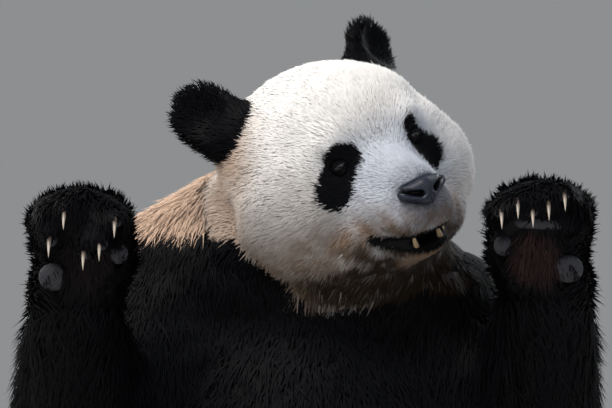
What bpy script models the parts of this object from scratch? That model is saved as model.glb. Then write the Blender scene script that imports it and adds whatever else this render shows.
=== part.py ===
"""A giant panda, life size, that sits on its rump and holds both forepaws up before its face.

Metres, +Z up, floor at z = 0. The animal faces -Y and its own left side is +X. Its head is
turned to its left and tipped to its right.

The solids reach out to the tips of the coat. The flesh is modelled whole: ellipsoids, and
the convex hulls of ellipsoids, stand for the muscle masses under the coat, and a voxel
remesh and smoothing melt them into one body. Thin discs then part that body into the pieces
that a person would name. Eyes, nose, teeth and claws are solids of their own, and each one
sits in a socket that is cut into the flesh around it.
"""

import math

import bmesh
import bpy
import numpy as np
from mathutils import Euler, Matrix, Vector

# Driving dimensions.
EYE_SPACING = 0.115
EYE_RADIUS = 0.0115
EYE_PROUD = 0.0040
EARS_APART = 0.254
EYE_MIDPOINT = (0.095, -0.150, 0.814)
HEAD_YAW, HEAD_PITCH, HEAD_ROLL = 30, -4, -20
SHOULDER = (0.170, 0.010, 0.600)
ELBOW = (0.298, -0.075, 0.425)
WRIST = (0.300, -0.225, 0.640)
FOREPAW = (0.292, -0.262, 0.720)
RIGHT_FOREPAW_SHIFT = (0.012, 0.000, -0.010)
LEFT_GRIP = {"thumb": 0.058, "spacing": 0.0190, "tips": (0.041, 0.046, 0.031, 0.039, 0.053)}
RIGHT_GRIP = {"thumb": 0.051, "spacing": 0.0205, "tips": (0.037, 0.002, -0.012, 0.039, 0.010)}
HIP = (0.150, 0.060, 0.150)
KNEE = (0.270, -0.200, 0.165)
ANKLE = (0.285, -0.400, 0.074)
HIND_SOLE = (0.292, -0.468, 0.096)
DIGITS = 5
DOME = 9.0
FIRST_TOE, TOE_SPACING = 0.044, 0.0225
CLAW_RADIUS = 0.0046
FORE_CLAW_LENGTH = 0.033
HIND_CLAW_LENGTH = 0.034
CANINE_LENGTH = 0.022
RUMP_FLAT_MIDDLE = 0.090
MOUTH_HEIGHT = -0.112
MOUTH_CORNER = 0.0245
MOUTH_FAR_END = -0.130
MOUTH_GAPE = 0.030
MOUTH_RISE = 0.010
JAW_WIDTH = 0.112

# How the flesh is melted together, and how finely it is kept.
BODY_VOXEL = 0.0060
MELT_STEPS = 10
TRUNK_STEPS = 70
FLESH_TRIANGLES = 4100
CUT = 0.0006
SOCKET_GAP = 0.0004
SPLINTER = 4e-5
SIDES = {"left": 1, "right": -1}

COATS = {
    "white_coat": ((0.78, 0.72, 0.63), 0.9),
    "black_coat": ((0.018, 0.017, 0.02), 0.85),
    "eye": ((0.02, 0.012, 0.008), 0.08),
    "nose_leather": ((0.03, 0.03, 0.035), 0.4),
    "claw_horn": ((0.62, 0.53, 0.45), 0.35),
    "tooth": ((0.75, 0.66, 0.46), 0.3),
}


# ---------------------------------------------------------------- frames and materials


def clear_scene():
    for old in list(bpy.data.objects):
        bpy.data.objects.remove(old)


def material(name):
    colour, roughness = COATS[name]
    made = bpy.data.materials.get(name) or bpy.data.materials.new(name)
    made.use_nodes = True
    shader = made.node_tree.nodes["Principled BSDF"]
    shader.inputs["Base Color"].default_value = (*colour, 1)
    shader.inputs["Roughness"].default_value = roughness
    shader.inputs["Metallic"].default_value = 0
    return made


def mirrored(point, side):
    return Vector((point[0] * side, point[1], point[2]))


def head_frame():
    """The head's own axes: X to its left, Y backwards and Z up, from midway between the eyes."""
    yaw, pitch, roll = (math.radians(a) for a in (HEAD_YAW, HEAD_PITCH, HEAD_ROLL))
    turn = Matrix.Rotation(yaw, 4, "Z") @ Matrix.Rotation(pitch, 4, "X") @ Matrix.Rotation(roll, 4, "Y")
    return Matrix.Translation(EYE_MIDPOINT) @ turn


def sole_frame(origin, toes, sole, side):
    """Axes of a paw: X to its thumb side, Y towards its toes and Z out of its sole."""
    y = Vector(toes).normalized()
    z = Vector(sole)
    z = (z - z.dot(y) * y).normalized()
    x = Vector((-side, 0, 0))
    x = (x - x.dot(y) * y - x.dot(z) * z).normalized()
    return Matrix.Translation(origin) @ Matrix((x, y, z)).transposed().to_4x4()


def shifted(point, side):
    """A joint of the foreleg, which the right forepaw holds a little lower and nearer the middle."""
    shift = Vector(RIGHT_FOREPAW_SHIFT) if side < 0 else Vector()
    return mirrored(point, side) + shift


def forepaw_frame(side):
    return sole_frame(shifted(FOREPAW, side), (0.06 * side, -0.12, 1), (0.05 * side, -1, -0.15), side)


def hind_paw_frame(side):
    return sole_frame(mirrored(HIND_SOLE, side), (0.12 * side, -0.10, 1), (0.10 * side, -1, 0.05), side)


# ---------------------------------------------------------------- clay: masses melted together


def add_mass(clay, frame, *blobs):
    """Adds an ellipsoid, or the convex hull of several, to the clay. A blob is (centre, radii)."""
    points = []
    for centre, radii in blobs:
        size = Vector((radii,) * 3) if isinstance(radii, float) else Vector(radii)
        place = frame @ Matrix.LocRotScale(Vector(centre), None, size)
        ball = bmesh.new()
        bmesh.ops.create_icosphere(ball, subdivisions=3, radius=1, matrix=place)
        points += [v.co.copy() for v in ball.verts]
        ball.free()
    shell = bmesh.new()
    for point in points:
        shell.verts.new(point)
    made = bmesh.ops.convex_hull(shell, input=shell.verts)
    unused = made["geom_interior"] + made["geom_unused"]
    inner = {item for item in unused if isinstance(item, bmesh.types.BMVert)}
    bmesh.ops.delete(shell, geom=list(inner), context="VERTS")
    bmesh.ops.recalc_face_normals(shell, faces=shell.faces)
    mesh = bpy.data.meshes.new("mass")
    shell.to_mesh(mesh)
    shell.free()
    clay.from_mesh(mesh)
    bpy.data.meshes.remove(mesh)


def add_trunk(clay):
    """A pear that sits on its broad end, and the short tail hanging behind it."""
    here = Matrix()
    rump = ((0, 0.095, 0.168), (0.272, 0.235, 0.183))
    belly = ((0, -0.020, 0.262), (0.262, 0.232, 0.215))
    ribs = ((0, 0.045, 0.470), (0.225, 0.200, 0.180))
    withers = ((0, 0.080, 0.600), (0.185, 0.150, 0.110))
    add_mass(clay, here, rump, belly, ribs, withers)
    tail_root = ((0, 0.305, 0.125), (0.050, 0.030, 0.040))
    tail_tip = ((0, 0.352, 0.048), (0.040, 0.032, 0.036))
    add_mass(clay, here, tail_root, tail_tip)


def add_neck(clay):
    here = Matrix()
    collar = ((-0.010, 0.040, 0.655), (0.228, 0.150, 0.110))
    throat = ((0, 0.035, 0.680), (0.190, 0.140, 0.085))
    nape = ((0.020, 0.010, 0.745), (0.140, 0.125, 0.095))
    stretched_top = ((-0.058, 0.055, 0.734), (0.086, 0.100, 0.086))
    stretched_foot = ((-0.176, 0.050, 0.666), (0.086, 0.100, 0.086))
    add_mass(clay, here, collar)
    add_mass(clay, here, throat, nape)
    add_mass(clay, here, stretched_top, stretched_foot)


def add_head(clay, frame):
    cranium = ((0, 0.132, 0.000), (0.150, 0.142, 0.128))
    forehead = ((0, 0.078, 0.036), (0.116, 0.082, 0.084))
    throat = ((0, 0.100, -0.122), (0.116, 0.094, 0.072))
    for blob in (cranium, forehead, throat):
        add_mass(clay, frame, blob)
    muzzle_root = ((0, 0.030, -0.055), (0.076, 0.050, 0.060))
    muzzle_tip = ((0, -0.034, -0.074), (0.054, 0.038, 0.038))
    add_mass(clay, frame, muzzle_root, muzzle_tip)
    bridge_root = ((0, 0.030, 0.000), (0.046, 0.034, 0.028))
    bridge_tip = ((0, -0.050, -0.048), (0.032, 0.024, 0.018))
    add_mass(clay, frame, bridge_root, bridge_tip)
    chin_tip = ((0, -0.022, -0.126), (0.036, 0.032, 0.020))
    chin_root = ((0, 0.045, -0.120), (0.066, 0.052, 0.038))
    add_mass(clay, frame, chin_tip, chin_root)
    for side in SIDES.values():
        temple = ((0.090 * side, 0.088, -0.004), (0.054, 0.076, 0.058))
        cheek = ((0.086 * side, 0.092, -0.048), (0.085, 0.090, 0.088))
        jowl = ((0.054 * side, 0.060, -0.104), (0.066, 0.072, 0.052))
        cheekbone = ((0.064 * side, 0.042, -0.032), (0.050, 0.038, 0.044))
        brow = ((0.050 * side, 0.022, 0.030), (0.036, 0.028, 0.024))
        lip = ((0.022 * side, -0.043, -0.088), (0.030, 0.028, 0.026))
        for blob in (temple, cheek, jowl, cheekbone, brow, lip):
            add_mass(clay, frame, blob)
        add_ear(clay, frame, side)


def ear_frame(frame, side):
    """Axes of an ear: X across it, Y out of its back and Z from its root to its tip."""
    root = Vector((EARS_APART / 2 * side, 0.160, 0.098))
    turn = Euler((math.radians(-8), math.radians(38 * side), math.radians(28 * side)), "YXZ")
    return frame @ Matrix.Translation(root) @ turn.to_matrix().to_4x4()


def add_ear(clay, frame, side):
    at = ear_frame(frame, side)
    root = ((0, 0, -0.020), (0.047, 0.026, 0.024))
    shell = ((0, 0, 0.020), (0.050, 0.022, 0.043))
    add_mass(clay, at, root, shell)


def digit_across(number, thumb, spacing):
    """Where a digit lies across the paw. Number 0 is the thumb."""
    return thumb - spacing * number


def arch(across):
    """How much lower a digit sits than the middle of the paw, whose outline is a dome."""
    return DOME * across**2


def forepaw_digit(number, grip):
    """Knuckle, bend and tip of a digit that is curled over a stem, in the paw's axes."""
    across = digit_across(number, grip["thumb"], grip["spacing"])
    drop = arch(across)
    knuckle = Vector((across * 0.94, 0.040 - drop, -0.004))
    bend = Vector((across, 0.044 - drop, 0.030))
    tip = Vector((across, grip["tips"][number] - drop * 0.5, 0.055))
    return knuckle, bend, tip


def grip_of(side):
    return LEFT_GRIP if side > 0 else RIGHT_GRIP


def hind_digit(number):
    """Knuckle and tip of a toe that bends towards the sole."""
    across = digit_across(number, FIRST_TOE, TOE_SPACING)
    knuckle = Vector((across * 0.96, 0.060 - arch(across), -0.016))
    tip = Vector((across * 1.04, 0.082 - arch(across), 0.010))
    return knuckle, tip


def add_foreleg(clay, side):
    here = Matrix()
    shoulder, elbow = (mirrored(p, side) for p in (SHOULDER, ELBOW))
    wrist = shifted(WRIST, side)
    blade = ((0.150 * side, 0.045, 0.560), (0.100, 0.120, 0.135))
    add_mass(clay, here, blade)
    add_mass(clay, here, (shoulder, (0.098, 0.105, 0.100)), (elbow, (0.085, 0.088, 0.085)))
    upper = (elbow + Vector((0, -0.010, 0.050)), (0.084, 0.084, 0.080))
    add_mass(clay, here, (elbow, (0.078, 0.080, 0.072)), upper, (wrist, (0.066, 0.056, 0.060)))
    paw = forepaw_frame(side)
    heel = ((0.002, -0.050, -0.012), (0.066, 0.042, 0.042))
    palm = ((0, 0.016, -0.014), (0.068, 0.042, 0.038))
    outer_edge = ((-0.028, 0.016, 0.004), (0.040, 0.038, 0.032))
    add_mass(clay, paw, heel, palm)
    add_mass(clay, paw, outer_edge)
    for number in range(DIGITS):
        knuckle, bend, tip = forepaw_digit(number, grip_of(side))
        add_mass(clay, paw, (knuckle, 0.0200), (bend, 0.0190))
        add_mass(clay, paw, (bend, 0.0185), (tip, 0.0140))
    wrist_pad = ((-0.034, -0.050, 0.022), (0.019, 0.018, 0.016))
    thumb_pad = ((0.048, -0.026, 0.016), (0.016, 0.018, 0.016))
    palm_pad = [((across, 0.005, 0.020), (0.013, 0.011, 0.010)) for across in (-0.030, 0.030)]
    add_mass(clay, paw, wrist_pad)
    add_mass(clay, paw, thumb_pad)
    add_mass(clay, paw, *palm_pad)


def add_hind_leg(clay, side):
    here = Matrix()
    hip, knee, ankle = (mirrored(p, side) for p in (HIP, KNEE, ANKLE))
    add_mass(clay, here, (hip, (0.135, 0.160, 0.150)), (knee, (0.100, 0.098, 0.100)))
    add_mass(clay, here, (knee, (0.094, 0.092, 0.096)), (ankle, (0.066, 0.060, 0.070)))
    paw = hind_paw_frame(side)
    heel = ((0, -0.064, -0.018), (0.048, 0.046, 0.048))
    ball = ((0, 0.030, -0.012), (0.060, 0.044, 0.036))
    add_mass(clay, paw, heel, ball)
    for number in range(DIGITS):
        knuckle, tip = hind_digit(number)
        add_mass(clay, paw, (knuckle, 0.0195), (tip, 0.0160))
    sole_pad = [((across, 0.032, 0.020), (0.014, 0.013, 0.010)) for across in (-0.036, 0.036)]
    add_mass(clay, paw, *sole_pad)


# ---------------------------------------------------------------- melting and sculpting


def apply_modifiers(body):
    graph = bpy.context.evaluated_depsgraph_get()
    mesh = bpy.data.meshes.new_from_object(body.evaluated_get(graph))
    body.modifiers.clear()
    body.data = mesh


def points_of(body):
    flat = np.empty(len(body.data.vertices) * 3, np.float32)
    body.data.vertices.foreach_get("co", flat)
    return flat.reshape(-1, 3).astype(float)


def set_points(body, points):
    body.data.vertices.foreach_set("co", points.astype(np.float32).ravel())
    body.data.update()


def smooth_step(t):
    t = np.clip(t, 0, 1)
    return t * t * (3 - 2 * t)


def add_weights(body, weights):
    group = body.vertex_groups.new(name="weights")
    for index, weight in enumerate(weights):
        if weight > 0:
            group.add([index], float(weight), "REPLACE")
    return group.name


def soften(body, steps, weights=None):
    smooth = body.modifiers.new("soften", "SMOOTH")
    smooth.factor, smooth.iterations = 0.5, steps
    if weights is not None:
        smooth.vertex_group = add_weights(body, weights)
    apply_modifiers(body)
    body.vertex_groups.clear()


def press(points, frame, centre, radii, push):
    """Moves the points near centre by push, as a thumb presses clay. All three are in the frame's axes."""
    local = (points - np.array(frame.translation)) @ np.array(frame.to_3x3())
    reach = np.linalg.norm((local - np.array(centre)) / np.array(radii), axis=1)
    share = smooth_step(1 - reach)[:, None]
    return points + share * (np.array(frame.to_3x3()) @ np.array(push))


def distance_from_detail(points):
    """For each point, 0 at the head, the ears and the paws and 1 well away from them."""
    head = head_frame()
    details = [(head @ Vector((0, 0.08, -0.02)), 0.17, 0.08)]
    for side in SIDES.values():
        details.append((ear_frame(head, side).translation, 0.09, 0.03))
        for paw in (forepaw_frame(side), hind_paw_frame(side)):
            details.append((paw.translation, 0.08, 0.06))
    share = 1
    for middle, radius, fade in details:
        away = np.linalg.norm(points - np.array(middle), axis=1)
        share = share * smooth_step((away - radius) / fade)
    return share


def melt():
    """The whole flesh as one smooth closed body."""
    clay = bmesh.new()
    head = head_frame()
    add_trunk(clay)
    add_neck(clay)
    add_head(clay, head)
    for side in SIDES.values():
        add_foreleg(clay, side)
        add_hind_leg(clay, side)
    mesh = bpy.data.meshes.new("flesh")
    clay.to_mesh(mesh)
    clay.free()
    flesh = bpy.data.objects.new("flesh", mesh)
    bpy.context.scene.collection.objects.link(flesh)
    remesh = flesh.modifiers.new("remesh", "REMESH")
    remesh.mode, remesh.voxel_size = "VOXEL", BODY_VOXEL
    apply_modifiers(flesh)
    soften(flesh, TRUNK_STEPS, distance_from_detail(points_of(flesh)))
    soften(flesh, MELT_STEPS)
    return flesh


def groove_digits(points, frame, digits, depth):
    """Presses a furrow between each two digits. Each digit is a row of points from knuckle to tip."""
    for digit, next_digit in zip(digits, digits[1:]):
        for place, next_place in zip(digit, next_digit):
            middle = (place + next_place) / 2
            away = (middle - digit[0] + Vector((0, 0.010, 0))).normalized()
            points = press(points, frame, middle + away * 0.012, (0.010, 0.026, 0.026), -away * depth)
    return points


def sculpt(flesh):
    """Presses the hollows that the masses leave out: eyes, ear cups, stop and the furrows of the digits."""
    points = points_of(flesh)
    head = head_frame()
    for side in SIDES.values():
        eye = EYE_SPACING / 2 * side
        points = press(points, head, (eye, 0.000, -0.002), (0.032, 0.040, 0.028), (0, 0.007, 0))
        cup = ear_frame(head, side)
        points = press(points, cup, (0, -0.022, 0.014), (0.040, 0.026, 0.040), (0, 0.020, -0.004))
        fingers = [forepaw_digit(number, grip_of(side)) for number in range(DIGITS)]
        points = groove_digits(points, forepaw_frame(side), fingers, 0.0050)
        toes = [hind_digit(number) for number in range(DIGITS)]
        points = groove_digits(points, hind_paw_frame(side), toes, 0.0045)
    points = press(points, head, (0, 0.000, 0.012), (0.036, 0.040, 0.026), (0, 0.004, -0.002))
    set_points(flesh, points)


def thin_out(flesh):
    """Keeps about FLESH_TRIANGLES of the flesh's triangles, most of them on the head and paws."""
    decimate = flesh.modifiers.new("thin out", "DECIMATE")
    decimate.vertex_group = add_weights(flesh, 0.5 + 0.5 * distance_from_detail(points_of(flesh)))
    decimate.vertex_group_factor = 1.0
    flesh.data.calc_loop_triangles()
    decimate.ratio = FLESH_TRIANGLES / len(flesh.data.loop_triangles)
    decimate.use_collapse_triangulate = True
    apply_modifiers(flesh)
    flesh.vertex_groups.clear()


def trim_at_floor(flesh):
    """Cuts off what lies under the floor, so that the animal rests on small flats at one level."""
    bm = bmesh.new()
    bm.from_mesh(flesh.data)
    everything = bm.verts[:] + bm.edges[:] + bm.faces[:]
    floor = {"plane_co": (0, 0, 0), "plane_no": (0, 0, -1)}
    cut = bmesh.ops.bisect_plane(bm, geom=everything, dist=1e-6, clear_outer=True, **floor)
    rim = [item for item in cut["geom_cut"] if isinstance(item, bmesh.types.BMEdge)]
    bmesh.ops.holes_fill(bm, edges=rim, sides=0)
    bmesh.ops.triangulate(bm, faces=[f for f in bm.faces if len(f.verts) > 3])
    bm.to_mesh(flesh.data)
    bm.free()


# ---------------------------------------------------------------- solids beside the flesh


def new_object(name, bm, coat):
    mesh = bpy.data.meshes.new(name)
    bmesh.ops.recalc_face_normals(bm, faces=bm.faces)
    bm.to_mesh(mesh)
    bm.free()
    made = bpy.data.objects.new(name, mesh)
    bpy.context.scene.collection.objects.link(made)
    if coat:
        mesh.materials.append(material(coat))
    mesh.shade_smooth()
    return made


def eye_places(flesh):
    """Where each eyeball's centre lies: its front stands EYE_PROUD before the flesh around it."""
    head = head_frame()
    places = {}
    for side_name, side in SIDES.items():
        start = head @ Vector((EYE_SPACING / 2 * side, -0.2, 0))
        _, point, *_ = flesh.ray_cast(start, head.to_3x3() @ Vector((0, 1, 0)))
        places[side_name] = head.inverted() @ point + Vector((0, EYE_RADIUS - EYE_PROUD, 0))
    return places


def eyeball(name, place, coat=None, grow=0.0):
    bm = bmesh.new()
    at = head_frame() @ Matrix.Translation(place)
    bmesh.ops.create_icosphere(bm, subdivisions=2, radius=EYE_RADIUS + grow, matrix=at)
    return new_object(name, bm, coat)


def nose_pad(name, coat=None, grow=0.0):
    """The bare leather of the nose: broad above, narrow below, with two nostrils pressed in."""
    bm = bmesh.new()
    head = head_frame()
    wings = [((0.0235 * side, -0.063, -0.0545), (0.0130, 0.0120, 0.0095)) for side in SIDES.values()]
    top = ((0, -0.069, -0.0520), (0.0170, 0.0125, 0.0100))
    foot = ((0, -0.072, -0.0710), (0.0100, 0.0090, 0.0070))
    blobs = [(centre, [r + grow for r in radii]) for centre, radii in (*wings, top, foot)]
    add_mass(bm, head, *blobs)
    made = new_object(name, bm, coat)
    if not grow:
        decimate = made.modifiers.new("thin out", "DECIMATE")
        decimate.ratio = 0.5
        apply_modifiers(made)
        points = points_of(made)
        for side in SIDES.values():
            nostril = (0.0185 * side, -0.079, -0.0575)
            points = press(points, head, nostril, (0.009, 0.012, 0.006), (0, 0.006, 0.001))
        set_points(made, points)
    return made


def horn(name, frame, root, heading, bend, length, coat=None, grow=0.0):
    """A claw: a cone whose line leaves root along heading and bends towards bend."""
    rings, sides = 3, 6
    heading, bend = Vector(heading).normalized(), Vector(bend).normalized()
    across = heading.cross(bend).normalized()
    bm = bmesh.new()
    point, step, loops = Vector(root) - heading * grow, length / rings, []
    for ring in range(rings):
        share = ring / rings
        along = heading.lerp(bend, 0.9 * share).normalized()
        radius = CLAW_RADIUS * (1 - share**1.6) + grow
        deep = across.cross(along)
        angles = [2 * math.pi * k / sides for k in range(sides)]
        offsets = [across * math.cos(a) * 0.8 + deep * math.sin(a) for a in angles]
        loops.append([bm.verts.new(frame @ (point + offset * radius)) for offset in offsets])
        point = point + along * step
    tip = bm.verts.new(frame @ (point + along * grow))
    for low, high in zip(loops, loops[1:]):
        for k in range(sides):
            bm.faces.new((low[k - 1], low[k], high[k], high[k - 1]))
    for k in range(sides):
        bm.faces.new((loops[-1][k - 1], loops[-1][k], tip))
    bm.faces.new(loops[0])
    bmesh.ops.triangulate(bm, faces=bm.faces)
    return new_object(name, bm, coat)


def claws(coat=None, grow=0.0):
    """The 20 claws, or with grow the sockets that they sit in."""
    made = []
    for side_name, side in SIDES.items():
        for number in range(DIGITS):
            *_, tip = forepaw_digit(number, grip_of(side))
            root = tip + Vector((0, -0.002, 0.002))
            name = f"claw_fore_{side_name}_{number + 1}"
            hang = (0, -0.55, 1), (0, -1, 0.15)
            made.append(horn(name, forepaw_frame(side), root, *hang, FORE_CLAW_LENGTH, coat, grow))
            _, root = hind_digit(number)
            name = f"claw_hind_{side_name}_{number + 1}"
            curve = (0, 0.75, 1), (0, 0.2, 1)
            made.append(horn(name, hind_paw_frame(side), root, *curve, HIND_CLAW_LENGTH, coat, grow))
    return made


def teeth(coat=None, grow=0.0):
    """The two lower canines and the two upper ones, which the parted lips show."""
    made = []
    head = head_frame()
    for side_name, side in SIDES.items():
        lower = (0.0190 * side, -0.036, MOUTH_HEIGHT - 0.018)
        upper = (0.0225 * side, -0.044, MOUTH_HEIGHT + 0.015)
        up, down = ((0, -0.1, 1), (0, 0.1, 1)), ((0, -0.1, -1), (0, 0.1, -1))
        made.append(horn(f"canine_lower_{side_name}", head, lower, *up, CANINE_LENGTH, coat, grow))
        made.append(horn(f"canine_upper_{side_name}", head, upper, *down, CANINE_LENGTH, coat, grow))
    return made


# ---------------------------------------------------------------- parting the flesh into nodes


def disc(centre, normal, radius):
    """A thin round blade whose faces lie half of CUT to each side of centre."""
    bm = bmesh.new()
    turn = Vector(normal).to_track_quat("Z", "Y").to_matrix().to_4x4()
    at = Matrix.Translation(centre) @ turn
    round_blade = {"segments": 24, "radius1": radius, "radius2": radius, "depth": CUT}
    bmesh.ops.create_cone(bm, cap_ends=True, matrix=at, **round_blade)
    return new_object("blade", bm, None)


def prism(frame, outline, low_x, high_x):
    """A closed outline of (y, z) in the frame's axes, drawn out from low_x to high_x."""
    bm = bmesh.new()
    ends = [[bm.verts.new(frame @ Vector((x, y, z))) for y, z in outline] for x in (low_x, high_x)]
    for k in range(len(outline)):
        bm.faces.new((ends[0][k - 1], ends[0][k], ends[1][k], ends[1][k - 1]))
    for end in ends:
        bm.faces.new(end)
    bmesh.ops.triangulate(bm, faces=bm.faces)
    return new_object("blade", bm, None)


def mouth_wedge():
    """The parted lips: a wedge across the muzzle, curved so that its corners turn up."""
    columns = 9
    bm = bmesh.new()
    rows = []
    for column in range(columns):
        turn = 2 * column / (columns - 1) - 1
        across = (JAW_WIDTH / 2 + CUT) * turn
        gape = MOUTH_GAPE * (1 - 0.9 * turn**2) + CUT
        back = MOUTH_HEIGHT + MOUTH_RISE * turn**2
        high = back - 0.007
        corners = [
            (MOUTH_CORNER, back - CUT / 2),
            (MOUTH_FAR_END, high - gape),
            (MOUTH_FAR_END, high),
            (MOUTH_CORNER, back + CUT / 2),
        ]
        rows.append([bm.verts.new(head_frame() @ Vector((across, y, z))) for y, z in corners])
    for left, right in zip(rows, rows[1:]):
        for k in range(4):
            bm.faces.new((left[k - 1], left[k], right[k], right[k - 1]))
    bm.faces.new(rows[0])
    bm.faces.new(rows[-1])
    bmesh.ops.triangulate(bm, faces=bm.faces)
    return new_object("blade", bm, None)


def jaw_blades():
    """Part the jaw behind, below and on both sides. The wedge of the mouth parts it above."""
    back, throat = (0.0217, MOUTH_HEIGHT + 0.012), (0.030, -0.146)
    under, front = (0.006, -0.172), (-0.110, -0.196)
    profile = [back, throat, under, front]
    ribbon = [(y - CUT / 2, z + CUT / 2) for y, z in profile]
    ribbon += [(y + CUT / 2, z - CUT / 2) for y, z in profile[::-1]]
    half = JAW_WIDTH / 2
    head = head_frame()
    made = [prism(head, ribbon, -half, half)]
    for side in SIDES.values():
        plate = [(0.0225, MOUTH_HEIGHT + 0.0098), throat, under, front, (-0.130, MOUTH_HEIGHT + 0.001)]
        made.append(prism(head, plate, side * half - CUT / 2, side * half + CUT / 2))
    return made


def shoulder_blade(side):
    """A leaning upright plate between the trunk and the upper arm, as high as the cut below the neck."""
    turn = Matrix.Rotation(math.radians(-8 * side), 4, "Z")
    lean = Matrix.Rotation(math.radians(-13.4 * side), 4, "Y")
    frame = Matrix.Translation((0.230 * side, 0, 0.490)) @ turn @ lean
    outline = [(-0.175, -0.195), (0.200, -0.195), (0.200, 0.212), (-0.175, 0.117)]
    return prism(frame, outline, -CUT / 2, CUT / 2)


def blades():
    """Every cut between two nodes of the flesh."""
    head = head_frame()
    made = [mouth_wedge(), *jaw_blades()]
    made.append(disc((-0.020, 0.000, 0.700), (0, -0.62, 1), 0.26))
    made.append(disc((-0.005, 0.030, 0.650), (0, -0.25, 1), 0.29))
    made.append(disc((0, 0.318, 0.110), (0, 0.80, -0.60), 0.09))
    for side in SIDES.values():
        ear = ear_frame(head, side)
        made.append(disc(ear @ Vector((0, 0, -0.016)), ear.to_3x3() @ Vector((0, 0, 1)), 0.070))
        wrist = shifted(WRIST, side)
        elbow, knee, ankle = (mirrored(p, side) for p in (ELBOW, KNEE, ANKLE))
        made.append(shoulder_blade(side))
        made.append(disc(elbow + Vector((0.012 * side, 0, 0.045)), (0.51 * side, -0.857, 0.062), 0.15))
        made.append(disc(wrist, forepaw_frame(side).to_3x3() @ Vector((0, 1, -0.2)), 0.105))
        made.append(disc((0.205 * side, -0.095, 0.140), (0.87 * side, -0.47, -0.13), 0.21))
        made.append(disc(knee, (0.25 * side, -0.95, -0.18), 0.125))
        made.append(disc(ankle + Vector((0, -0.015, 0)), (0.05 * side, -1, 0), 0.11))
    return made


BLACK_NODES = ("ear", "upper_arm", "forearm", "forepaw", "thigh", "shank", "hind_paw")
NODE_PLACES = {
    "head": (0.030, -0.040, 0.810),
    "jaw": (0.080, -0.130, 0.690),
    "neck": (-0.030, 0.050, 0.680),
    "trunk": (0, 0.050, 0.350),
    "tail": (0, 0.350, 0.060),
    "upper_arm": (0.270, -0.020, 0.480),
    "forearm": (0.300, -0.170, 0.520),
    "forepaw": (0.290, -0.270, 0.720),
    "thigh": (0.240, -0.100, 0.150),
    "shank": (0.280, -0.300, 0.120),
    "hind_paw": (0.292, -0.460, 0.100),
}


def merge_flat_facets(piece):
    """Makes one face of each cut, which the blades leave in splinters."""
    bm = bmesh.new()
    bm.from_mesh(piece.data)
    bmesh.ops.dissolve_limit(bm, angle_limit=math.radians(0.5), verts=bm.verts, edges=bm.edges)
    bmesh.ops.triangulate(bm, faces=[f for f in bm.faces if len(f.verts) > 3])
    bm.to_mesh(piece.data)
    bm.free()


def volume_of(piece):
    bm = bmesh.new()
    bm.from_mesh(piece.data)
    volume = bm.calc_volume()
    bm.free()
    return volume


def part(flesh, cutters):
    """Cuts the flesh with every cutter and returns its loose pieces."""
    bpy.ops.object.select_all(action="DESELECT")
    for cutter in cutters:
        cutter.select_set(True)
    bpy.context.view_layer.objects.active = cutters[0]
    bpy.ops.object.join()
    knife = bpy.context.view_layer.objects.active
    boolean = flesh.modifiers.new("part", "BOOLEAN")
    boolean.operation, boolean.solver = "DIFFERENCE", "EXACT"
    boolean.use_self, boolean.object = True, knife
    apply_modifiers(flesh)
    bpy.data.objects.remove(knife)
    bpy.ops.object.select_all(action="DESELECT")
    flesh.select_set(True)
    bpy.context.view_layer.objects.active = flesh
    bpy.ops.mesh.separate(type="LOOSE")
    return list(bpy.context.selected_objects)


def node_places():
    """The name of each node of the flesh, and a place near its middle."""
    places = {}
    for name, place in NODE_PLACES.items():
        if name in ("head", "jaw", "neck", "trunk", "tail"):
            places[name] = Vector(place)
        else:
            for side_name, side in SIDES.items():
                places[f"{name}_{side_name}"] = mirrored(place, side)
    for side_name, side in SIDES.items():
        places[f"ear_{side_name}"] = ear_frame(head_frame(), side) @ Vector((0, 0, 0.030))
    return places


def name_pieces(pieces):
    """Names each piece after the nearest of the node places, largest first, and drops the splinters."""
    places = node_places()
    for piece in sorted(pieces, key=lambda p: -volume_of(p)):
        points = points_of(piece)
        middle = Vector((points.min(axis=0) + points.max(axis=0)) / 2)
        if volume_of(piece) < SPLINTER:
            bpy.data.objects.remove(piece)
            continue
        merge_flat_facets(piece)
        name = min(places, key=lambda key: (places.get(key) - middle).length)
        piece.name = name
        coat = "black_coat" if name.startswith(BLACK_NODES) else "white_coat"
        piece.data.materials.clear()
        piece.data.materials.append(material(coat))
        del places[name]


def main():
    clear_scene()
    flesh = melt()
    sculpt(flesh)
    thin_out(flesh)
    trim_at_floor(flesh)
    places = eye_places(flesh)
    cutters = blades() + claws(grow=SOCKET_GAP) + teeth(grow=SOCKET_GAP)
    cutters.append(nose_pad("socket", grow=SOCKET_GAP))
    cutters += [eyeball("socket", place, grow=SOCKET_GAP) for place in places.values()]
    name_pieces(part(flesh, cutters))
    for side_name, place in places.items():
        eyeball(f"eye_{side_name}", place, "eye")
    nose_pad("nose", "nose_leather")
    claws("claw_horn")
    teeth("tooth")
    for made in bpy.data.objects:
        made.data.transform(Matrix.Translation((0, -RUMP_FLAT_MIDDLE, 0)))


main()
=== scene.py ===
"""A giant panda, life size, that sits on its rump with both forepaws raised: the finished model.

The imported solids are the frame, in metres, +Z up. The animal faces -Y and its left side is +X.
"""

import math

import bmesh
import bpy
import numpy as np
from mathutils import Euler, Matrix, Vector
from mathutils.bvhtree import BVHTree


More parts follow.
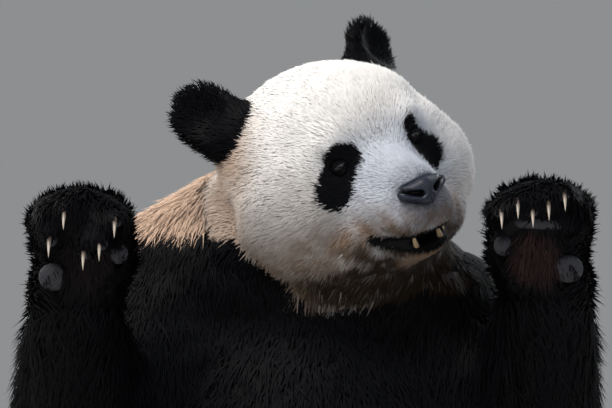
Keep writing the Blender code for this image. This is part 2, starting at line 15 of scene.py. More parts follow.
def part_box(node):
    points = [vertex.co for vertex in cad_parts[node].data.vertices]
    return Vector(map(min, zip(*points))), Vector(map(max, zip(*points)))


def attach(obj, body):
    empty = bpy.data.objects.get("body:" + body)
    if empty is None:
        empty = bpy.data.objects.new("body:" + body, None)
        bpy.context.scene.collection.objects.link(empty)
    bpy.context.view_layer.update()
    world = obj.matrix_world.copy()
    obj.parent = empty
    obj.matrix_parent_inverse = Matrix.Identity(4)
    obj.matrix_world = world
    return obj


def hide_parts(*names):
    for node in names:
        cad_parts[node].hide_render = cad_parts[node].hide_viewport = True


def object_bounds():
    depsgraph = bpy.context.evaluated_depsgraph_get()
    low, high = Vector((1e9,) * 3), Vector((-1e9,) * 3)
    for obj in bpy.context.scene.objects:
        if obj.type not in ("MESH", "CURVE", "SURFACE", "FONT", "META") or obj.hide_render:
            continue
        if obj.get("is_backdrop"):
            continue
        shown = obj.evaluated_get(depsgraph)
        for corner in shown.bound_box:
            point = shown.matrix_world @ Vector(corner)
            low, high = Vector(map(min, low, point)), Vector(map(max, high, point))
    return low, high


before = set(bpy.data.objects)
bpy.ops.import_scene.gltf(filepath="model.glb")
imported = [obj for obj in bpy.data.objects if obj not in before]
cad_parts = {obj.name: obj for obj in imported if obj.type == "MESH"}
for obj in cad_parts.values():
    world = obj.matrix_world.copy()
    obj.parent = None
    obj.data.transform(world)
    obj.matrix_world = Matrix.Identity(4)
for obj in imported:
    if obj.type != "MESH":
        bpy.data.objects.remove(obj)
cad_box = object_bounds()


# ---------------------------------------- floor, lights and camera
# A plain pale floor, a big warm lamp high on the animal's right front, a cooler one on its left
# front and two behind, all soft. The camera stands level with the animal's nose.
FLOOR_WIDTH, FLOOR_COLOUR = 14.0, (0.74, 0.73, 0.71, 1)
STUDIO_COLOUR, STUDIO_LIGHT = (0.74, 0.76, 0.78, 1), 0.36
# Each lamp's place, width in metres, power in watts and colour. All of them face the chest.
LAMPS = {
    "key": ((-1.3, -1.6, 3.4), 1.5, 122, (1.0, 0.97, 0.93)),
    "fill": ((2.4, -2.6, 1.8), 2.2, 22, (0.84, 0.91, 1.0)),
    "back_left": ((1.9, 2.2, 2.3), 1.8, 50, (0.95, 0.97, 1.0)),
    "back_right": ((-2.2, 1.7, 2.3), 1.8, 60, (1.0, 0.96, 0.91)),
}
CHEST = (0, -0.1, 0.55)
CAMERA_PLACE, CAMERA_LENS, SENSOR_WIDTH = (0.0, -5.19, 0.746), 229.8, 36


def principled(name, roughness, **sockets):
    """A new material and its shader, with constant values set on it."""
    material = bpy.data.materials.new(name)
    material.use_nodes = True
    shader = material.node_tree.nodes["Principled BSDF"]
    shader.inputs["Roughness"].default_value = roughness
    for socket, value in sockets.items():
        shader.inputs[socket.replace("_", " ")].default_value = value
    return material, shader


bpy.ops.object.select_all(action="DESELECT")
bpy.ops.mesh.primitive_plane_add(size=FLOOR_WIDTH, location=(0, 0, 0))
floor = bpy.context.object
floor.name = "floor"
floor.data.materials.append(principled("pale_floor", 0.85, Base_Color=FLOOR_COLOUR)[0])
floor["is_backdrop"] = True

world = bpy.data.worlds.new("studio")
world.use_nodes = True
world.node_tree.nodes["Background"].inputs["Color"].default_value = STUDIO_COLOUR
world.node_tree.nodes["Background"].inputs["Strength"].default_value = STUDIO_LIGHT
bpy.context.scene.world = world
bpy.context.scene.view_settings.view_transform = "Standard"

for lamp_name, (place, size, power, colour) in LAMPS.items():
    bpy.ops.object.light_add(type="AREA", location=place)
    lamp = bpy.context.object
    lamp.name = lamp_name
    lamp.data.size = size
    lamp.data.energy = power
    lamp.data.color = colour
    lamp.rotation_euler = (Vector(CHEST) - lamp.location).to_track_quat("-Z", "Y").to_euler()

bpy.ops.object.camera_add(location=CAMERA_PLACE, rotation=(math.pi / 2, 0, 0))
bpy.context.scene.camera = bpy.context.object
bpy.context.object.data.sensor_width = SENSOR_WIDTH
bpy.context.object.data.lens = CAMERA_LENS


# ---------------------------------------- the flesh, under one skin
# The solids reach out to the coat's tips. The flesh nodes are melted into one body, its facets
# are smoothed away, and the skin then sinks inside them by the depth that the coat has there.
HEAD_MIDDLE = (0.095, -0.240, 0.814)
HEAD_YAW, HEAD_PITCH, HEAD_ROLL = 30, -4, -20
SKIN_VOXEL = 0.004
CUT_FILL = 0.0006
SIDES = {"left": 1, "right": -1}
PAIRED = ("ear", "upper_arm", "forearm", "forepaw", "thigh", "shank", "hind_paw")
FLESH = ["head", "jaw", "neck", "trunk", "tail"] + [f"{part}_{side}" for part in PAIRED for side in SIDES]


def head_frame():
    """The head's own axes: X to its left, Y backwards and Z up, from midway between the eyes."""
    yaw, pitch, roll = (math.radians(a) for a in (HEAD_YAW, HEAD_PITCH, HEAD_ROLL))
    turn = Matrix.Rotation(yaw, 4, "Z") @ Matrix.Rotation(pitch, 4, "X") @ Matrix.Rotation(roll, 4, "Y")
    return Matrix.Translation(HEAD_MIDDLE) @ turn


def pick(piece):
    """Makes piece the only selected object, and the active one."""
    bpy.ops.object.select_all(action="DESELECT")
    piece.select_set(True)
    bpy.context.view_layer.objects.active = piece


def finish_modifiers(piece):
    pick(piece)
    for modifier in list(piece.modifiers):
        bpy.ops.object.modifier_apply(modifier=modifier.name)


def melt(piece, voxel):
    """Remeshes a piece into one closed surface of small even faces."""
    remesh = piece.modifiers.new("melt", "REMESH")
    remesh.mode = "VOXEL"
    remesh.voxel_size = voxel
    finish_modifiers(piece)


def new_piece(name, mesh):
    piece = bpy.data.objects.new(name, mesh)
    bpy.context.scene.collection.objects.link(piece)
    return piece


def rows_of(items, field, width=3, kind=np.float32):
    """One field of a mesh's points, edges, faces or corners, with a row for each."""
    values = np.empty(len(items) * width, kind)
    items.foreach_get(field, values)
    return values.reshape(-1, width)


def points_of(mesh):
    return rows_of(mesh.vertices, "co").astype(float)


def normals_of(mesh):
    return rows_of(mesh.vertex_normals, "vector").astype(float)


def set_points(mesh, points):
    mesh.vertices.foreach_set("co", points.astype(np.float32).ravel())
    mesh.update()


def ends_of(mesh):
    return rows_of(mesh.edges, "vertices", 2, np.int32)


def spread(values, ends, rounds):
    """Takes each point's values half way to its neighbours' mean, that many times."""
    values = np.array(values, float)
    count = np.maximum(np.bincount(ends.ravel(), minlength=len(values)), 1)[:, None]
    for _ in range(rounds):
        total = np.empty_like(values)
        for k in range(values.shape[1]):
            ahead = np.bincount(ends[:, 0], values[ends[:, 1], k], len(values))
            total[:, k] = ahead + np.bincount(ends[:, 1], values[ends[:, 0], k], len(values))
        values += (total / count - values) / 2
    return values


def lengths(vectors):
    return np.linalg.norm(vectors, axis=-1)


def unit(vectors):
    return vectors / np.maximum(lengths(vectors)[..., None], 1e-9)


def into(matrix, points):
    """Points in the axes of matrix."""
    inverse = np.array(matrix.inverted())
    return points @ inverse[:3, :3].T + inverse[:3, 3]


def out_of(matrix, points):
    whole = np.array(matrix)
    return points @ whole[:3, :3].T + whole[:3, 3]


def step(values, low, high):
    """0 below low, 1 above high and a smooth rise between."""
    share = np.clip((values - low) / (high - low), 0, 1)
    return share * share * (3 - 2 * share)


def melted_flesh():
    """All flesh nodes, swollen over their cuts, as one closed body with its bubbles taken away."""
    flesh = bmesh.new()
    for node in FLESH:
        flesh.from_mesh(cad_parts[node].data)
    bmesh.ops.remove_doubles(flesh, verts=flesh.verts, dist=1e-5)
    flesh.normal_update()
    for vert in flesh.verts:
        vert.co += vert.normal * CUT_FILL
    mesh = bpy.data.meshes.new("skin")
    flesh.to_mesh(mesh)
    flesh.free()
    melt(new_piece("skin", mesh), SKIN_VOXEL)
    bpy.ops.mesh.separate(type="LOOSE")
    islands = list(bpy.context.selected_objects)
    whole = max(islands, key=lambda island: len(island.data.vertices))
    for island in islands:
        if island is not whole:
            bpy.data.objects.remove(island)
    whole.name = "skin"
    return whole


def corners_of(node):
    return [np.array(corner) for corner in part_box(node)]


def inside_box(points, node, margin):
    """1 inside a node's box, falling to 0 at margin outside it."""
    low, high = corners_of(node)
    outside = lengths(np.maximum(np.maximum(low - points, points - high), 0))
    return 1 - step(outside, 0, margin)


HEAD = head_frame()
HEAD_TURN = np.array(HEAD)[:3, :3]
FINE_PAIRED = ("ear", "forepaw", "hind_paw")
FINE_NODES = ["head", "jaw"] + [f"{part}_{side}" for part in FINE_PAIRED for side in SIDES]
FINE_MARGIN, SMOOTH_BODY, SMOOTH_FINE = 0.03, 70, 12
# How many faces stay on the fine nodes, and how many more on the face, which ends at FACE_BACK.
KEEP_FINE, KEEP_FACE, FACE_BACK, FACE_BOTTOM = 0.45, 0.55, (0.03, 0.09), -0.2
KEPT, KEEP_LEVELS, KEEP_FACTOR = 0.22, 20, 8

skin = melted_flesh()
points = points_of(skin.data)
fine = np.max([inside_box(points, node, FINE_MARGIN) for node in FINE_NODES], axis=0)[:, None]
ends = ends_of(skin.data)
lightly = spread(points, ends, SMOOTH_FINE)
set_points(skin.data, lightly * fine + spread(lightly, ends, SMOOTH_BODY) * (1 - fine))
local = into(HEAD, points)
on_face = (1 - step(local[:, 1], *FACE_BACK)) * (local[:, 2] > FACE_BOTTOM)
keep = fine[:, 0] * (KEEP_FINE + KEEP_FACE * on_face)
levels = np.minimum((keep * KEEP_LEVELS).astype(int), KEEP_LEVELS - 1)
group = skin.vertex_groups.new(name="plain")
for level in range(KEEP_LEVELS):
    group.add(np.nonzero(levels == level)[0].tolist(), 1.0 - level / KEEP_LEVELS, "REPLACE")
thin = skin.modifiers.new("thin out", "DECIMATE")
thin.ratio = KEPT
thin.vertex_group = "plain"
thin.vertex_group_factor = KEEP_FACTOR
finish_modifiers(skin)
skin.vertex_groups.clear()


# ---------------------------------------- the lids round the eyes
# The lids are skin drawn over two thirds of each eyeball: the face is cut finer there, and its
# points are set on a slightly larger ball. Inside the opening the skin drops behind the eyeball.
LID_THICKNESS = 0.0013
OPENING_HALF_WIDTH, OPENING_ABOVE, OPENING_BELOW = 0.0086, 0.0023, 0.0035
GAZE_OUTWARDS, GAZE_DOWN, OPENING_SLANT = 0.30, 0.10, 0.22
SOCKET_RADIUS, SOCKET_DEPTH, BEHIND_BALL = 0.030, 0.035, 0.004
# From here on, a share is a distance from the opening's middle, with 1 on the lids' edge.
RIM_FROM, RIM_TO = 0.86, 1.22
LID_CUTS = (0.040, 0.024, 0.015)
FOLD_DEPTH, FOLD_SHARE, FOLD_WIDTH = 0.0010, 2.3, 0.35


def eye_frame(side_name):
    """Axes of an eye: X along the opening, Y out of the pupil and Z up. Also the ball's radius."""
    low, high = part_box(f"eye_{side_name}")
    side = SIDES[side_name]
    turn = HEAD.to_3x3()
    gaze = (turn @ Vector((GAZE_OUTWARDS * side, -1, -GAZE_DOWN))).normalized()
    along = turn @ Vector((1, 0, -OPENING_SLANT * side))
    up = gaze.cross(along).normalized() * -1
    across = gaze.cross(up).normalized()
    axes = Matrix((across, gaze, up)).transposed().to_4x4()
    return Matrix.Translation((low + high) / 2) @ axes, (high - low).length / math.sqrt(3) / 2


def cut_finer(piece, middle, reach):
    """Halves the edges of the faces within reach of middle."""
    mesh = piece.data
    near = lengths(rows_of(mesh.polygons, "center") - np.array(middle)) < reach
    pick(piece)
    mesh.vertices.foreach_set("select", np.zeros(len(mesh.vertices), bool))
    mesh.edges.foreach_set("select", np.zeros(len(mesh.edges), bool))
    mesh.polygons.foreach_set("select", near)
    bpy.context.tool_settings.mesh_select_mode = (False, False, True)
    bpy.ops.object.mode_set(mode="EDIT")
    bpy.ops.mesh.subdivide(number_cuts=1, smoothness=0.6)
    bpy.ops.mesh.quads_convert_to_tris()
    bpy.ops.object.mode_set(mode="OBJECT")


def opening_share(local):
    """How far a point is from the middle of the eye's opening: 1 on the lids' edge."""
    x, _, z = local.T
    height = np.where(z > 0, OPENING_ABOVE, OPENING_BELOW)
    return np.sqrt((x / OPENING_HALF_WIDTH) ** 2 + (z / height) ** 2)


def draw_lids(points, side_name):
    """Sets the skin round an eye on the ball of its lids, and drops it behind the eyeball inside."""
    eye, radius = eye_frame(side_name)
    local = into(eye, points)
    x, y, z = local.T
    near = (np.hypot(x, z) < SOCKET_RADIUS) & (np.abs(y) < SOCKET_DEPTH)
    share = np.maximum(opening_share(local), 1e-6)
    rim = near & (share > RIM_FROM) & (share < RIM_TO)
    pull = np.where(rim, 1.0 / share, 1.0)
    x, z = x * pull, z * pull
    share = np.where(rim, 1.0, share)
    out = np.hypot(x, z)
    lid = np.sqrt(np.maximum((radius + LID_THICKNESS) ** 2 - out**2, 0))
    fold = FOLD_DEPTH * np.exp(-(((share - FOLD_SHARE) / FOLD_WIDTH) ** 2)) * (z > 0)
    ball = np.sqrt(np.maximum(radius**2 - out**2, 0))
    hold = step(out, radius * 0.92, radius * 1.25)
    drawn = np.maximum(y, lid) * (1 - hold) + y * hold - fold
    y = np.where(share >= 1, drawn, np.minimum(y, ball - BEHIND_BALL))
    return np.where(near[:, None], out_of(eye, np.stack([x, y, z], axis=1)), points)


# ---------------------------------------- eyeballs
# Two glossy balls, dark brown round a black pupil, each with a wet line of lid below it, tinted pale
# grey as a painted glint. They take the places of the solids' plain balls, so they sit as deep as those do.
PUPIL, IRIS = 0.24, 0.66
PUPIL_BLACK, IRIS_BROWN = np.array((0.001, 0.001, 0.001)), np.array((0.011, 0.006, 0.003))
# The wet line's pale grey is a painted glint along the lower lid.
EYE_RIM, TEAR_GLINT_GREY = np.array((0.006, 0.005, 0.005)), (0.13, 0.14, 0.17)
TEAR_RADIUS = 0.00045


def give_colour(mesh, name, colour):
    """Stores a colour for each point of a mesh, in an attribute of that name."""
    opaque = np.concatenate([colour, np.ones((len(colour), 1))], axis=1).astype(np.float32)
    mesh.attributes.new(name, "FLOAT_COLOR", "POINT").data.foreach_set("color", opaque.ravel())


def give_tint(piece, colour):
    """Gives each point of a piece its tint, or all of them the same."""
    give_colour(piece.data, "tint", np.broadcast_to(colour, (len(piece.data.vertices), 3)))


def mix(low, high, share):
    return low + (high - low) * share[:, None]


def add_node(material, kind, **settings):
    node = material.node_tree.nodes.new(kind)
    for name, value in settings.items():
        if hasattr(node, name):
            setattr(node, name, value)
        else:
            node.inputs[name.replace("_", " ")].default_value = value
    return node


def tinted(name, roughness, grain=0.0, bump=0.0, **sockets):
    """A material that takes each point's own tint, with pebbles of about 1/grain metres."""
    material, shader = principled(name, roughness, **sockets)
    link = material.node_tree.links.new
    tint = add_node(material, "ShaderNodeAttribute", attribute_name="tint")
    link(tint.outputs["Color"], shader.inputs["Base Color"])
    if bump:
        place = add_node(material, "ShaderNodeTexCoord")
        pebbles = add_node(material, "ShaderNodeTexVoronoi", Scale=grain)
        relief = add_node(material, "ShaderNodeBump", Strength=bump, Distance=0.0006)
        link(place.outputs["Object"], pebbles.inputs["Vector"])
        link(pebbles.outputs["Distance"], relief.inputs["Height"])
        link(relief.outputs["Normal"], shader.inputs["Normal"])
    return material


def finish_piece(piece, slot, material, *nodes):
    piece.data.materials.clear()
    piece.data.materials.append(material)
    pick(piece)
    bpy.ops.object.shade_smooth()
    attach(piece, "root")
    if nodes:
        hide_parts(*nodes)


def joined(pieces, name):
    """The pieces as one object of that name."""
    pick(pieces[0])
    for piece in pieces:
        piece.select_set(True)
    if len(pieces) > 1:
        bpy.ops.object.join()
    bpy.context.object.name = name
    return bpy.context.object


def tube(path, radii, sides, name):
    """A closed tube along path, whose rings have their own radii; a radius of 0 closes an end."""
    path = np.array(path, float)
    along = unit(np.gradient(path, axis=0))
    across = unit(np.cross(along, unit(np.array([path[-1] - path[0]])) + (0.01, 0.02, 1.0)))
    deep = np.cross(along, across)
    turns = np.arange(sides) * 2 * math.pi / sides
    ring = np.cos(turns)[None, :, None] * across[:, None] + np.sin(turns)[None, :, None] * deep[:, None]
    rows = path[:, None] + ring * np.array(radii, float)[:, None, None]
    count = len(path)
    faces = [list(range(sides))[::-1], [(count - 1) * sides + j for j in range(sides)]]
    for low in range(0, (count - 1) * sides, sides):
        for j in range(sides):
            beside = (j + 1) % sides
            faces.append([low + j, low + beside, low + sides + beside, low + sides + j])
    mesh = bpy.data.meshes.new(name)
    mesh.from_pydata(rows.reshape(-1, 3).tolist(), [], faces)
    piece = new_piece(name, mesh)
    pick(piece)
    bpy.ops.object.mode_set(mode="EDIT")
    bpy.ops.mesh.select_all(action="SELECT")
    bpy.ops.mesh.remove_doubles(threshold=1e-6)
    bpy.ops.mesh.normals_make_consistent(inside=False)
    bpy.ops.object.mode_set(mode="OBJECT")
    return piece


wet = tinted("wet_eye", 0.07, Specular_IOR_Level=0.30)
for side_name in SIDES:
    eye, radius = eye_frame(side_name)
    bpy.ops.mesh.primitive_uv_sphere_add(segments=48, ring_count=40, radius=radius)
    ball = bpy.context.object
    ball.data.transform(eye @ Matrix.Rotation(-math.pi / 2, 4, "X"))
    local = into(eye, points_of(ball.data))
    angle = np.arccos(np.clip(unit(local)[:, 1], -1, 1))
    shade = mix(PUPIL_BLACK, IRIS_BROWN, step(angle, PUPIL - 0.05, PUPIL + 0.05))
    shade = mix(shade, EYE_RIM, step(angle, IRIS - 0.10, IRIS + 0.05))
    give_tint(ball, shade)
    turns = np.linspace(0.12 * math.pi, 0.88 * math.pi, 17)
    x, z = OPENING_HALF_WIDTH * 0.97 * np.cos(turns), -OPENING_BELOW * 0.94 * np.sin(turns)
    y = np.sqrt((radius + LID_THICKNESS * 0.7) ** 2 - x**2 - z**2)
    path = out_of(eye, np.stack([x, y, z], axis=1))
    line = tube(path, TEAR_RADIUS * np.sin(turns) ** 0.6, 8, "tear_glint_line")
    # The wet line is tinted pale grey: a painted glint along the lower lid.
    give_tint(line, TEAR_GLINT_GREY)
    finish_piece(joined([ball, line], f"eyeball_{side_name}"), "eye", wet, f"eye_{side_name}")


# ---------------------------------------- nose
# Bare dark leather, broad above and narrow below: the solid's facets are melted smooth, and the
# two nostrils are slits that run outwards and up from beside the middle, over a raised rim.
NOSE_VOXEL, NOSE_SMOOTHING = 0.0009, 14
NOSTRIL = ((0.0115, -0.0605), (0.0225, -0.0560), (0.0335, -0.0475))
NOSTRIL_HALF_HEIGHT, NOSTRIL_DEPTH = 0.0045, 0.0120
RIM_BELOW, RIM_WIDTH, RIM_HEIGHT = 0.0052, 0.0020, 0.0009
GROOVE_HALF_WIDTH, GROOVE_DEPTH, GROOVE_TOP = 0.0009, 0.0012, (0.060, 0.066)
# The nostrils' near black is painted shadow inside the slits.
LEATHER, NOSTRIL_SHADOW_BLACK = np.array((0.007, 0.010, 0.024)), np.array((0.002, 0.002, 0.003))


def gaps_to(spots, start, end):
    """From the nearest place on a straight line to each spot."""
    way = end - start
    share = np.clip((spots - start) @ way / (way @ way), 0, 1)
    return spots - start - share[:, None] * way


def line_distance(spots, line):
    """How far each spot lies from a line of straight pieces, and its signed height over it."""
    best, height = np.full(len(spots), 9.0), np.zeros(len(spots))
    for start, end in zip(np.array(line)[:-1], np.array(line)[1:]):
        gap = gaps_to(spots, start, end)
        out = lengths(gap)
        height = np.where(out < best, gap[:, 1], height)
        best = np.minimum(best, out)
    return best, height


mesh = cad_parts["nose"].data
bare_nose = bpy.data.meshes.new("nose_leather")
bare_nose.from_pydata([list(v.co) for v in mesh.vertices], [], [list(p.vertices) for p in mesh.polygons])
nose = new_piece("nose_leather", bare_nose)
melt(nose, NOSE_VOXEL)
place = spread(points_of(nose.data), ends_of(nose.data), NOSE_SMOOTHING)
set_points(nose.data, place)
x, _, z = into(HEAD, place).T
facing = normals_of(nose.data)
spots = np.stack([np.abs(x), z], axis=1)
out, height = line_distance(spots, NOSTRIL)
front = step(-unit(facing @ HEAD_TURN)[:, 1], -0.2, 0.15)
narrow = 1 - 0.35 * step(spots[:, 0], 0.022, 0.034)
slit = (1 - step(out / narrow, NOSTRIL_HALF_HEIGHT * 0.55, NOSTRIL_HALF_HEIGHT * 1.35)) * front
deep = (1 - step(out / narrow, 0, NOSTRIL_HALF_HEIGHT * 1.35)) * front
rim = np.exp(-(((height + RIM_BELOW) / RIM_WIDTH) ** 2)) * (out < NOSTRIL_HALF_HEIGHT * 2) * front
groove = np.exp(-((x / GROOVE_HALF_WIDTH) ** 2)) * step(-z, *GROOVE_TOP)
place = place - facing * (NOSTRIL_DEPTH * deep - RIM_HEIGHT * rim + GROOVE_DEPTH * groove)[:, None]
set_points(nose.data, place)
# Painted light on the leather: the raised rims are tinted lighter as a painted highlight, the middle groove
# darker as painted shade, and the nostril slits near black as painted shadow inside them.
shade = LEATHER * (1 + 0.35 * rim - 0.3 * groove)[:, None]
give_tint(nose, mix(shade, NOSTRIL_SHADOW_BLACK, slit))
leather = tinted("nose_leather", 0.42, grain=950.0, bump=0.35, Specular_IOR_Level=0.5)
finish_piece(nose, "nose_leather", leather, "nose")


# ---------------------------------------- claws
# Twenty curved horn claws, dark at the root and pale at the tip, each rooted in the end of its
# digit. The forepaws hold theirs forwards and down, as if over a stem; the toes' point up and
# forwards.
DIGITS = 5
CLAW_RADIUS, CLAW_GIRTH = 0.0046, 0.64
HORN_RINGS, HORN_SIDES = 14, 12
# How each claw leaves its digit, where it bends to, in the paw's axes, and its length.
FORE_CLAW = ((0, -0.55, 1), (0, -1, 0.15), 0.033)
HIND_CLAW = ((0, 0.75, 1), (0, 0.2, 1), 0.034)
FOREPAW_PLACES = {"left": (0.292, -0.352, 0.720), "right": (-0.280, -0.352, 0.710)}
# Where the thumb lies across the paw, the space between digits, and how far each digit reaches.
GRIPS = {
    "left": (0.058, 0.0190, (0.041, 0.046, 0.031, 0.039, 0.053)),
    "right": (0.051, 0.0205, (0.037, 0.002, -0.012, 0.039, 0.010)),
}
HORN_ROOT, HORN_TIP = np.array((0.085, 0.060, 0.048)), np.array((0.43, 0.37, 0.31))


def sole_frame(origin, toes, sole, side):
    """Axes of a paw: X to its thumb side, Y towards its toes and Z out of its sole."""
    y = Vector(toes).normalized()
    z = Vector(sole)
    z = (z - z.dot(y) * y).normalized()
    x = Vector((-side, 0, 0))
    x = (x - x.dot(y) * y - x.dot(z) * z).normalized()
    return Matrix.Translation(origin) @ Matrix((x, y, z)).transposed().to_4x4()


def fore_tip(side_name, number):
    """The end of a forepaw's digit, in the paw's axes. Number 0 is the thumb."""
    thumb, spacing, tips = GRIPS[side_name]
    across = thumb - spacing * number
    return Vector((across, tips[number] - 4.5 * across**2, 0.055))


def hind_tip(number):
    across = 0.044 - 0.0225 * number
    return Vector((across * 1.04, 0.082 - 9 * across**2, 0.010))


def horn(axes, root, heading, bend, length, girth, name):
    """A claw or tooth that leaves root along heading and bends towards bend, and its points' shares."""
    heading, bend = Vector(heading).normalized(), Vector(bend).normalized()
    point, path, radii = Vector(root), [], []
    for ring in range(HORN_RINGS + 1):
        share = ring / HORN_RINGS
        path.append(axes @ point)
        radii.append(CLAW_RADIUS * girth * (1 - share**1.7))
        point = point + heading.lerp(bend, 0.6 * share).normalized() * length / HORN_RINGS
    piece = tube(path, radii, HORN_SIDES, name)
    root_at, tip_at = np.array(path[0]), np.array(path[-1])
    share = lengths(points_of(piece.data) - root_at) / np.linalg.norm(tip_at - root_at)
    return piece, np.clip(share, 0, 1)


PAWS, CLAW_ROOTS = {}, []
claw_horn = tinted("claw_horn", 0.34, Specular_IOR_Level=0.5)
for side_name, side in SIDES.items():
    fore = sole_frame(FOREPAW_PLACES[side_name], (0.06 * side, -0.12, 1), (0.05 * side, -1, -0.15), side)
    hind = sole_frame((0.292 * side, -0.558, 0.096), (0.12 * side, -0.10, 1), (0.10 * side, -1, 0.05), side)
    PAWS[f"forepaw_{side_name}"], PAWS[f"hind_paw_{side_name}"] = fore, hind
    fore_roots = [fore_tip(side_name, number) + Vector((0, -0.002, 0.002)) for number in range(DIGITS)]
    hind_roots = [hind_tip(number) for number in range(DIGITS)]
    kinds = {"fore": (fore, fore_roots, FORE_CLAW), "hind": (hind, hind_roots, HIND_CLAW)}
    for kind, (axes, roots, shape) in kinds.items():
        made = []
        for root in roots:
            piece, share = horn(axes, root, *shape, CLAW_GIRTH, "claw")
            tone = step(share, 0.15, 0.75) * 0.9 + 0.1 * share
            give_tint(piece, mix(HORN_ROOT, HORN_TIP, tone))
            made.append(piece)
            CLAW_ROOTS.append(np.array(axes @ root))
        nodes = [f"claw_{kind}_{side_name}_{number + 1}" for number in range(DIGITS)]
        finish_piece(joined(made, f"claws_{kind}_{side_name}"), "claw_horn", claw_horn, *nodes)


# ---------------------------------------- teeth
# Four blunt yellowish canines in the solids' places, and six small incisors between the lower two.
# The lips are only a little parted, so that the tips alone show.
ENAMEL_ROOT, ENAMEL_TIP = np.array((0.28, 0.17, 0.07)), np.array((0.50, 0.38, 0.22))
CANINES = {
    "lower": ((0.0190, -0.036, -0.130), (0, -0.1, 1), (0, 0.1, 1)),
    "upper": ((0.0225, -0.044, -0.097), (0, -0.1, -1), (0, 0.1, -1)),
}
CANINE_LENGTH, CANINE_GIRTH = 0.022, 0.92
INCISORS = (-0.0130, -0.0078, -0.0026, 0.0026, 0.0078, 0.0130)
INCISOR_RADII, INCISOR_FRONT, INCISOR_HEIGHT, ARCH = (0.0024, 0.0019, 0.0056), -0.0345, -0.1340, 12

enamel = tinted("enamel", 0.28, Specular_IOR_Level=0.5)
for jaw_name, (root, heading, bend) in CANINES.items():
    for side_name, side in SIDES.items():
        root_at = Vector((root[0] * side, root[1], root[2]))
        tooth, share = horn(HEAD, root_at, heading, bend, CANINE_LENGTH, CANINE_GIRTH, "canine")
        give_tint(tooth, mix(ENAMEL_ROOT, ENAMEL_TIP, step(share, 0.1, 0.7)))
        tooth = joined([tooth], f"tooth_{jaw_name}_{side_name}")
        finish_piece(tooth, "tooth", enamel, f"canine_{jaw_name}_{side_name}")
made = []
for across in INCISORS:
    bpy.ops.mesh.primitive_uv_sphere_add(segments=12, ring_count=10, radius=1)
    peg = bpy.context.object
    middle = Matrix.Translation((across, INCISOR_FRONT + ARCH * across**2, INCISOR_HEIGHT))
    peg.data.transform(HEAD @ middle @ Matrix.Diagonal((*INCISOR_RADII, 1)))
    give_tint(peg, ENAMEL_TIP)
    made.append(peg)
finish_piece(joined(made, "incisors"), "tooth", enamel)


# ---------------------------------------- pads
# Bare grey leather pads under the paws: a round one at the wrist, one below the thumb, a ridge
# across the palm and one on each digit. The hind soles have the ridge and the toes' pads alone.
PAD_GREY = (0.030, 0.030, 0.037)
PAD_VOXEL, PAD_SMOOTHING = 0.0012, 8
FORE_TIP_PAD, HIND_TIP_PAD = (0.0088, 0.0082, 0.0100), (0.0100, 0.0120, 0.0095)
WRIST_PAD = ((-0.034, -0.050, 0.022), (0.0185, 0.0178, 0.0095))
THUMB_PAD = ((0.048, -0.026, 0.016), (0.0120, 0.0135, 0.0100))
RIDGE = np.linspace(-1, 1, 9)
FORE_RIDGE = [((0.026 * share, 0.005, 0.020), (0.0120, 0.0085, 0.0066)) for share in RIDGE]
HIND_RIDGE = [((0.034 * share, 0.032, 0.020), (0.0130, 0.0115, 0.0085)) for share in RIDGE]

pad_leather = tinted("pad_leather", 0.62, grain=700.0, bump=0.35, Specular_IOR_Level=0.25)
PADS = []
for paw_name, axes in PAWS.items():
    side_name = paw_name.split("_")[-1]
    if paw_name.startswith("fore"):
        tips = [fore_tip(side_name, number) + Vector((0, -0.0065, -0.006)) for number in range(DIGITS)]
        blobs = [WRIST_PAD, THUMB_PAD] + FORE_RIDGE + [(tip, FORE_TIP_PAD) for tip in tips]
    else:
        tips = [hind_tip(number) + Vector((0, -0.006, 0.005)) for number in range(DIGITS)]
        blobs = HIND_RIDGE + [(tip, HIND_TIP_PAD) for tip in tips]
    made = []
    for centre, radii in blobs:
        bpy.ops.mesh.primitive_ico_sphere_add(subdivisions=4, radius=1)
        pad = bpy.context.object
        pad.data.transform(axes @ Matrix.Translation(centre) @ Matrix.Diagonal((*radii, 1)))
        made.append(pad)
        PADS.append((axes @ Matrix.Translation(centre), radii))
    pads = joined(made, f"pads_{paw_name}")
    melt(pads, PAD_VOXEL)
    set_points(pads.data, spread(points_of(pads.data), ends_of(pads.data), PAD_SMOOTHING))
    give_tint(pads, PAD_GREY)
    finish_piece(pads, "nose_leather", pad_leather)


# ---------------------------------------- how the coat lies, and its depth
# Every part of the body carries fur of its own depth and length, and the fur lies away from the
# nose, down the body and the raised arms, and along the feet.
# COAT gives each part's depth of coat over the skin, its tufts' length and width, all in metres,
# and how many tufts grow on a square centimetre.
COAT = {
    "head": (0.0085, 0.0180, 0.0015, 30),
    "jaw": (0.0080, 0.0170, 0.0015, 30),
    "ear": (0.0130, 0.0150, 0.0016, 34),
    "neck": (0.0190, 0.0380, 0.0020, 20),
    "trunk": (0.0220, 0.0480, 0.0036, 5.6),
    "tail": (0.0180, 0.0420, 0.0034, 7),
    "upper_arm": (0.0220, 0.0480, 0.0032, 7),
    "forearm": (0.0200, 0.0440, 0.0030, 8),
    "forepaw": (0.0100, 0.0270, 0.0021, 17),
    "thigh": (0.0220, 0.0480, 0.0034, 6),
    "shank": (0.0180, 0.0420, 0.0032, 6.5),
    "hind_paw": (0.0095, 0.0220, 0.0022, 13),
}
PARTS = list(COAT)
COMBINGS = 8
# The head's fur ends in a ruff, on this ellipsoid in the head's axes, a little off the solids' cut.
RUFF_MIDDLE, RUFF_REACH = (0.0, 0.105, -0.020), (0.178, 0.181, 0.174)
NOSE_TIP, WHORL = (0.0, -0.080, -0.055), (0, -0.090, -0.056)
MOUTH_FRONT = (0.0, -0.040, -0.119)
# The ways that the coat is combed: outwards, backwards and up.
COMBED = {
    "upper_arm": (0.45, -0.2, -1),
    "forearm": (0.30, -0.15, -1),
    "thigh": (0.45, -0.8, -0.25),
    "shank": (0.1, -0.9, -0.4),
}


